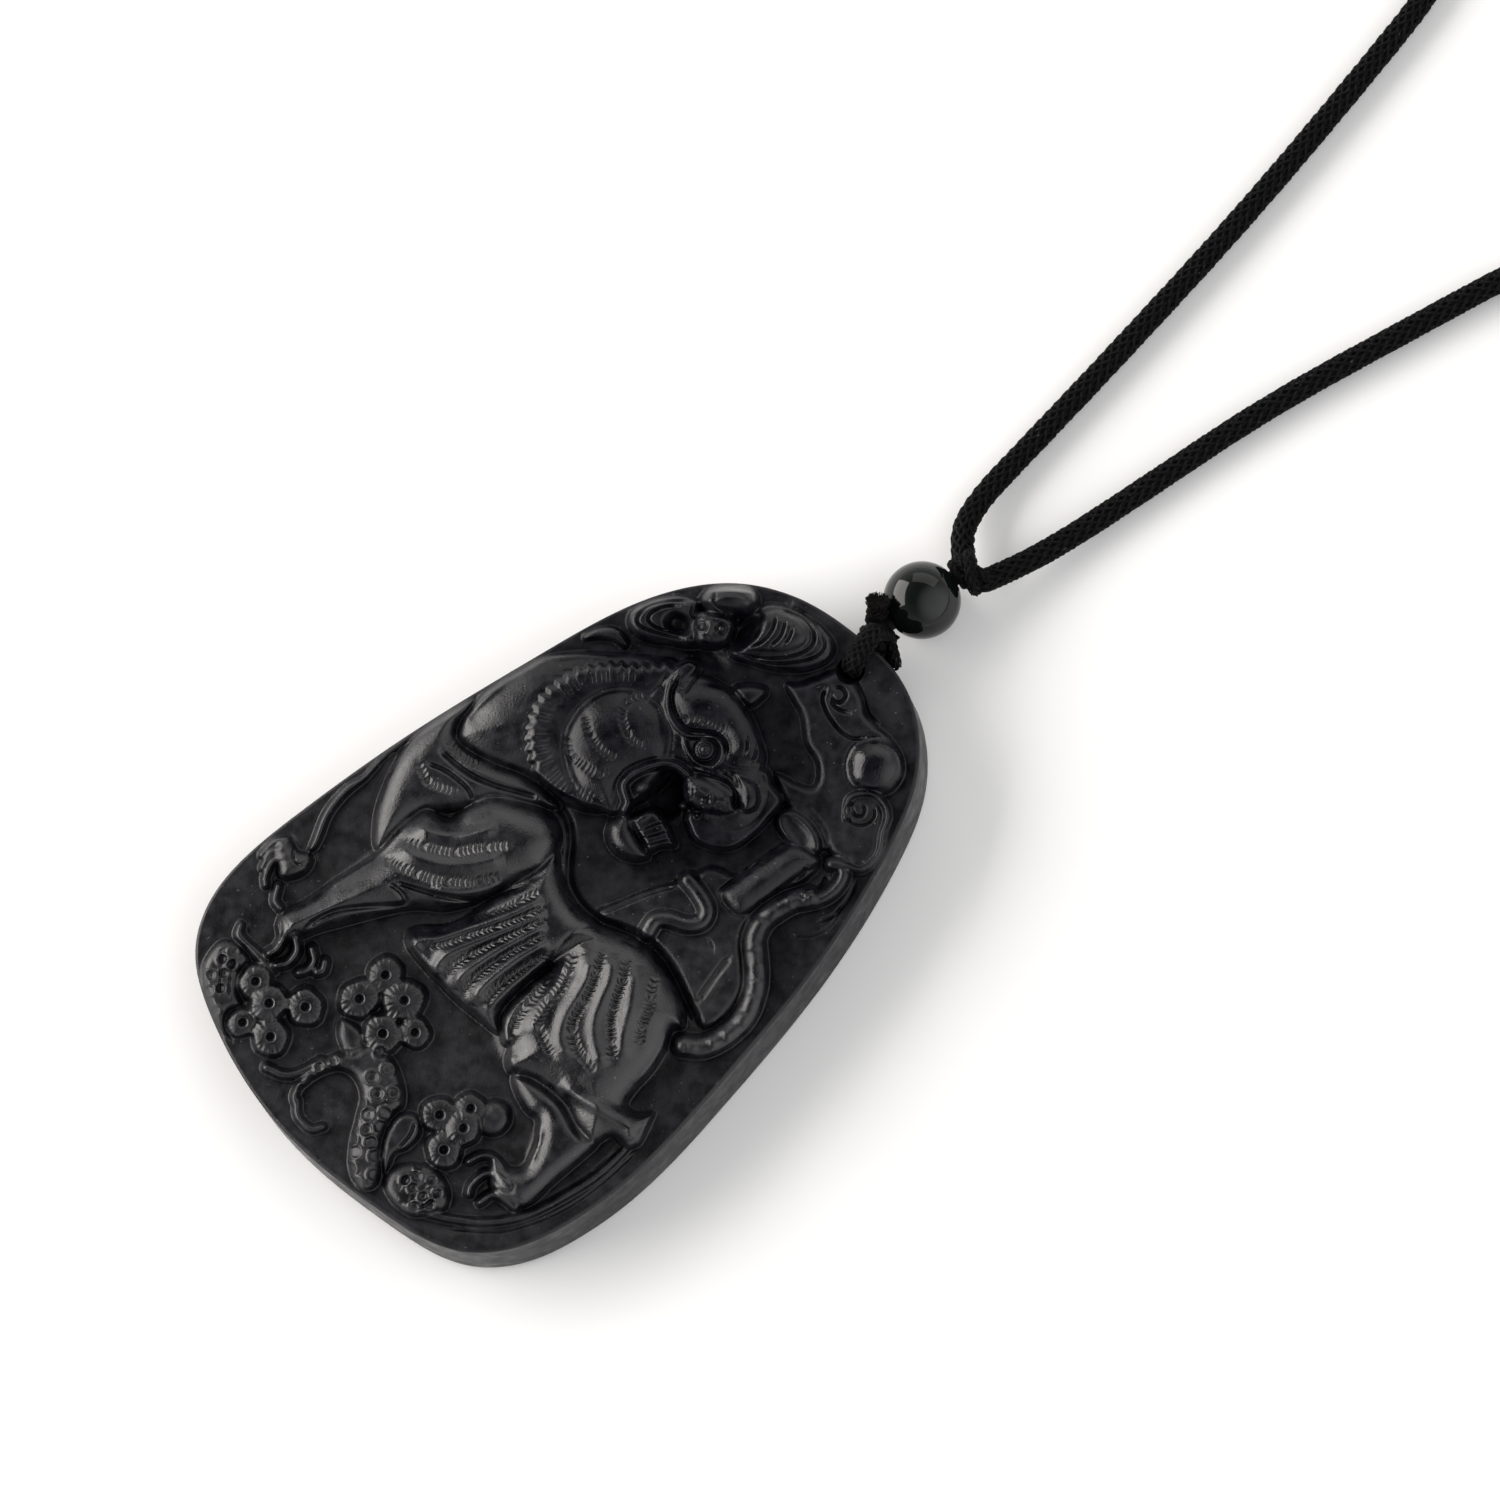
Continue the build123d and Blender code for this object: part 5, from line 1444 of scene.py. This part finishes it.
def ramp(tree, factor, low, high, start, end):
    """A colour ramp between two colours."""
    made = node(tree, "ShaderNodeValToRGB", {"Fac": factor})
    elements = made.color_ramp.elements
    elements[0].position, elements[0].color = low, (*start, 1)
    elements[1].position, elements[1].color = high, (*end, 1)
    return made.outputs["Color"]


def dusted(tree, base, fleck, low, high, dust):
    """A colour with light dust added at the flecks of a noise."""
    inputs = {"Factor": 1.0, 6: base, 7: ramp(tree, fleck, low, high, (0, 0, 0), dust)}
    return node(tree, "ShaderNodeMix", inputs, data_type="RGBA", blend_type="ADD").outputs[2]


def on_plate(u, v):
    """A point on the plate's top, in metres in the CAD frame."""
    return tuple(turned([u, v, PLAQUE_THICK]) * MM)


def stone_roughness(tree, place, height, mottle):
    """Satin ground, smoother high up, and a polished pearl."""
    high = mapped(tree, height, 6.2 * MM, 8.4 * MM, 0.38, 0.25)
    uneven = mapped(tree, mottle, 0.3, 0.7, -0.07, 0.12)
    cloudy = mapped(tree, noise(tree, place, 160.0, 6.0), 0.3, 0.7, -0.05, 0.07)
    rough = worked(tree, "ADD", high, worked(tree, "ADD", cloudy, uneven))
    from_pearl = measured(tree, "DISTANCE", place, on_plate(*PEARL))
    return worked(tree, "MULTIPLY", rough, mapped(tree, from_pearl, 2.1 * MM, 2.7 * MM, 0.35, 1.0))


def stone_shine(tree, place, height):
    """More shine high up and towards the lower end, less on the head and on the wall."""
    level = mapped(tree, height, 6.1 * MM, 7.6 * MM, 0.34, 0.49)
    along = measured(tree, "DOT_PRODUCT", place, tuple(turned([0.0, 1.0, 0.0])))
    worn = mapped(tree, along, 3.0 * MM, 8.0 * MM, 1.2, 0.8)
    from_head = measured(tree, "DISTANCE", place, on_plate(*HEAD))
    matte = mapped(tree, from_head, 9.0 * MM, 14.0 * MM, 0.6, 1.0)
    wall = mapped(tree, height, 5.2 * MM, 5.9 * MM, 0.65, 1.0)
    used = worked(tree, "MULTIPLY", worn, worked(tree, "MULTIPLY", wall, matte))
    return worked(tree, "MULTIPLY", level, used)


def stone_material():
    """Black stone: satin ground with fine grain and dust, and high spots polished by handling."""
    material, tree, shader = new_material("carved_stone")
    place = object_place(tree)
    height = node(tree, "ShaderNodeSeparateXYZ", {"Vector": place}).outputs["Z"]
    mottle = noise(tree, place, 900.0, 8.0)
    base = ramp(tree, mottle, 0.36, 0.72, STONE_DARK, STONE_LIGHT)
    wavy = {"Height": noise(tree, place, 420.0, 2.0), "Strength": 0.4, "Distance": 0.0002}
    grain = {
        "Height": noise(tree, place, 5500.0, 4.0),
        "Strength": 0.5,
        "Distance": 0.00005,
        "Normal": node(tree, "ShaderNodeBump", wavy).outputs["Normal"],
    }
    connect(tree, shader, {
        "Base Color": dusted(tree, base, noise(tree, place, 3200.0, 1.0), 0.735, 0.78, STONE_DUST),
        "Roughness": stone_roughness(tree, place, height, mottle),
        "Specular IOR Level": stone_shine(tree, place, height),
        "IOR": 1.5,
        "Normal": node(tree, "ShaderNodeBump", grain).outputs["Normal"],
    })
    return material


def bead_material():
    """Polished black-green stone with faint clouds."""
    material, tree, shader = new_material("bead_stone")
    cloud = noise(tree, object_place(tree), 350.0, 5.0)
    connect(tree, shader, {
        "Base Color": ramp(tree, cloud, 0.35, 0.75, BEAD_DARK, BEAD_LIGHT),
        "Roughness": mapped(tree, cloud, 0.0, 1.0, 0.03, 0.09),
        "IOR": 1.5,
        "Specular IOR Level": 0.33,
    })
    return material


def cord_material(name, dark, light):
    """Matte black fibres: fine filaments along each strand, with dusty flecks."""
    material, tree, shader = new_material(name)
    lay = node(tree, "ShaderNodeTexCoord").outputs["UV"]
    stretch = node(tree, "ShaderNodeMapping", {"Vector": lay, "Scale": (22.0, 1.6, 1.0)}).outputs["Vector"]
    fibre = noise(tree, stretch, 1.0, 3.0)
    fleck = noise(tree, object_place(tree), 2400.0, 2.0)
    base = ramp(tree, fibre, 0.3, 0.75, dark, light)
    bump = {"Height": fibre, "Strength": 0.8, "Distance": 0.00007}
    connect(tree, shader, {
        "Base Color": dusted(tree, base, fleck, 0.69, 0.77, CORD_DUST),
        "Roughness": 0.5,
        "Specular IOR Level": 0.09,
        "Normal": node(tree, "ShaderNodeBump", bump).outputs["Normal"],
    })
    return material


def floor():
    """A pale plain surface under the pendant."""
    corners = [(-FLOOR_HALF, -FLOOR_HALF, 0), (FLOOR_HALF, -FLOOR_HALF, 0),
               (FLOOR_HALF, FLOOR_HALF, 0), (-FLOOR_HALF, FLOOR_HALF, 0)]
    obj = make_mesh("floor", corners, [(0, 1, 2, 3)])
    material, tree, shader = new_material("floor_white")
    soft = noise(tree, object_place(tree), 30.0, 2.0)
    connect(tree, shader, {
        "Base Color": ramp(tree, soft, 0.3, 0.7, FLOOR_DARK, FLOOR_LIGHT),
        "Roughness": 0.9,
        "Specular IOR Level": 0.0,
    })
    obj.data.materials.append(material)


def view_axes():
    """The photo's right, up and back directions in the CAD frame."""
    turn, rise = math.radians(VIEW_TURN), math.radians(VIEW_ELEVATION)
    toward = Vector((math.cos(turn), math.sin(turn)))
    beside = Vector((-toward.y, toward.x))
    tilted = Vector((math.sin(rise) * toward.x, math.sin(rise) * toward.y, -math.cos(rise)))
    level = Vector((beside.x, beside.y, 0))
    right = beside.x * level + toward.x * tilted
    up = beside.y * level + toward.y * tilted
    back = Vector((math.cos(rise) * toward.x, math.cos(rise) * toward.y, math.sin(rise)))
    return right, up, back


def camera():
    """The camera at the photo's angle."""
    right, up, back = view_axes()
    place = (VIEW_RIGHT * right + VIEW_UP * up + CAMERA_DISTANCE * back) * MM
    data = bpy.data.cameras.new("camera")
    data.sensor_width = SENSOR_WIDTH
    distance = CAMERA_DISTANCE - VIEW_HEIGHT * math.sin(math.radians(VIEW_ELEVATION))
    data.lens = SENSOR_WIDTH * distance / VIEW_WIDTH
    data.clip_start, data.clip_end = CLIP_RANGE
    obj = bpy.data.objects.new("camera", data)
    bpy.context.scene.collection.objects.link(obj)
    axes = Matrix((right, up, back)).transposed().to_4x4()
    obj.matrix_world = Matrix.Translation(place) @ axes
    bpy.context.scene.camera = obj


def softbox(name, place, aim, size, power):
    """A rectangular area light aimed at a point."""
    data = bpy.data.lights.new(name, "AREA")
    data.shape = "RECTANGLE"
    data.size, data.size_y = size
    data.energy = power
    data.color = LIGHT_COLOUR
    obj = bpy.data.objects.new(name, data)
    bpy.context.scene.collection.objects.link(obj)
    obj.location = place
    obj.rotation_euler = (Vector(place) - Vector(aim)).to_track_quat("Z", "Y").to_euler()


def lights():
    """Soft studio light: the softboxes, and a pale room with a soft glow."""
    world = bpy.data.worlds.new("room")
    world.use_nodes = True
    tree = world.node_tree
    way = node(tree, "ShaderNodeTexCoord").outputs["Generated"]
    rise = node(tree, "ShaderNodeSeparateXYZ", {"Vector": way}).outputs["Z"]
    sky = ramp(tree, rise, 0.05, 0.9, ROOM_LOW, ROOM_HIGH)
    toward = measured(tree, "DOT_PRODUCT", way, GLOW_WAY)
    glow = node(tree, "ShaderNodeMapRange", {"Value": toward, "From Min": 0.45, "To Max": 1.5},
                interpolation_type="SMOOTHSTEP").outputs["Result"]
    light = node(tree, "ShaderNodeVectorMath", {0: sky, 1: glow}, operation="ADD").outputs["Vector"]
    connect(tree, tree.nodes["Background"], {"Color": light, "Strength": ROOM_STRENGTH})
    bpy.context.scene.world = world
    for row in SOFTBOXES:
        softbox(*row)
    bpy.context.scene.view_settings.view_transform = "Standard"


def main():
    """Build the whole scene."""
    camera()
    braided = cord_material("braided_cord", CORD_DARK, CORD_LIGHT)
    centre = cord_line()
    patch = braid(centre, CORD_DIAMETER / 2, CORD_DIAMETER / 2)
    cord = cord_piece("neck_cord_braid", [patch], braided, "neck_cord")
    knot = joining_knot(centre, braided)
    bail_cord(braided)
    bail_knot(braided)
    cut_end(cord_material("singed_end", SINGED_DARK, SINGED_LIGHT))
    collar_knot(braided)
    bead(bead_material())
    stone = stone_material()
    outline = plaque_outline()
    carving = carve(*np.abs(outline).max(axis=0))
    carved_faces(carving, outline, stone)
    rim(carving, outline, stone)
    hole_wall(outline, stone)
    floor()
    lights()


main()
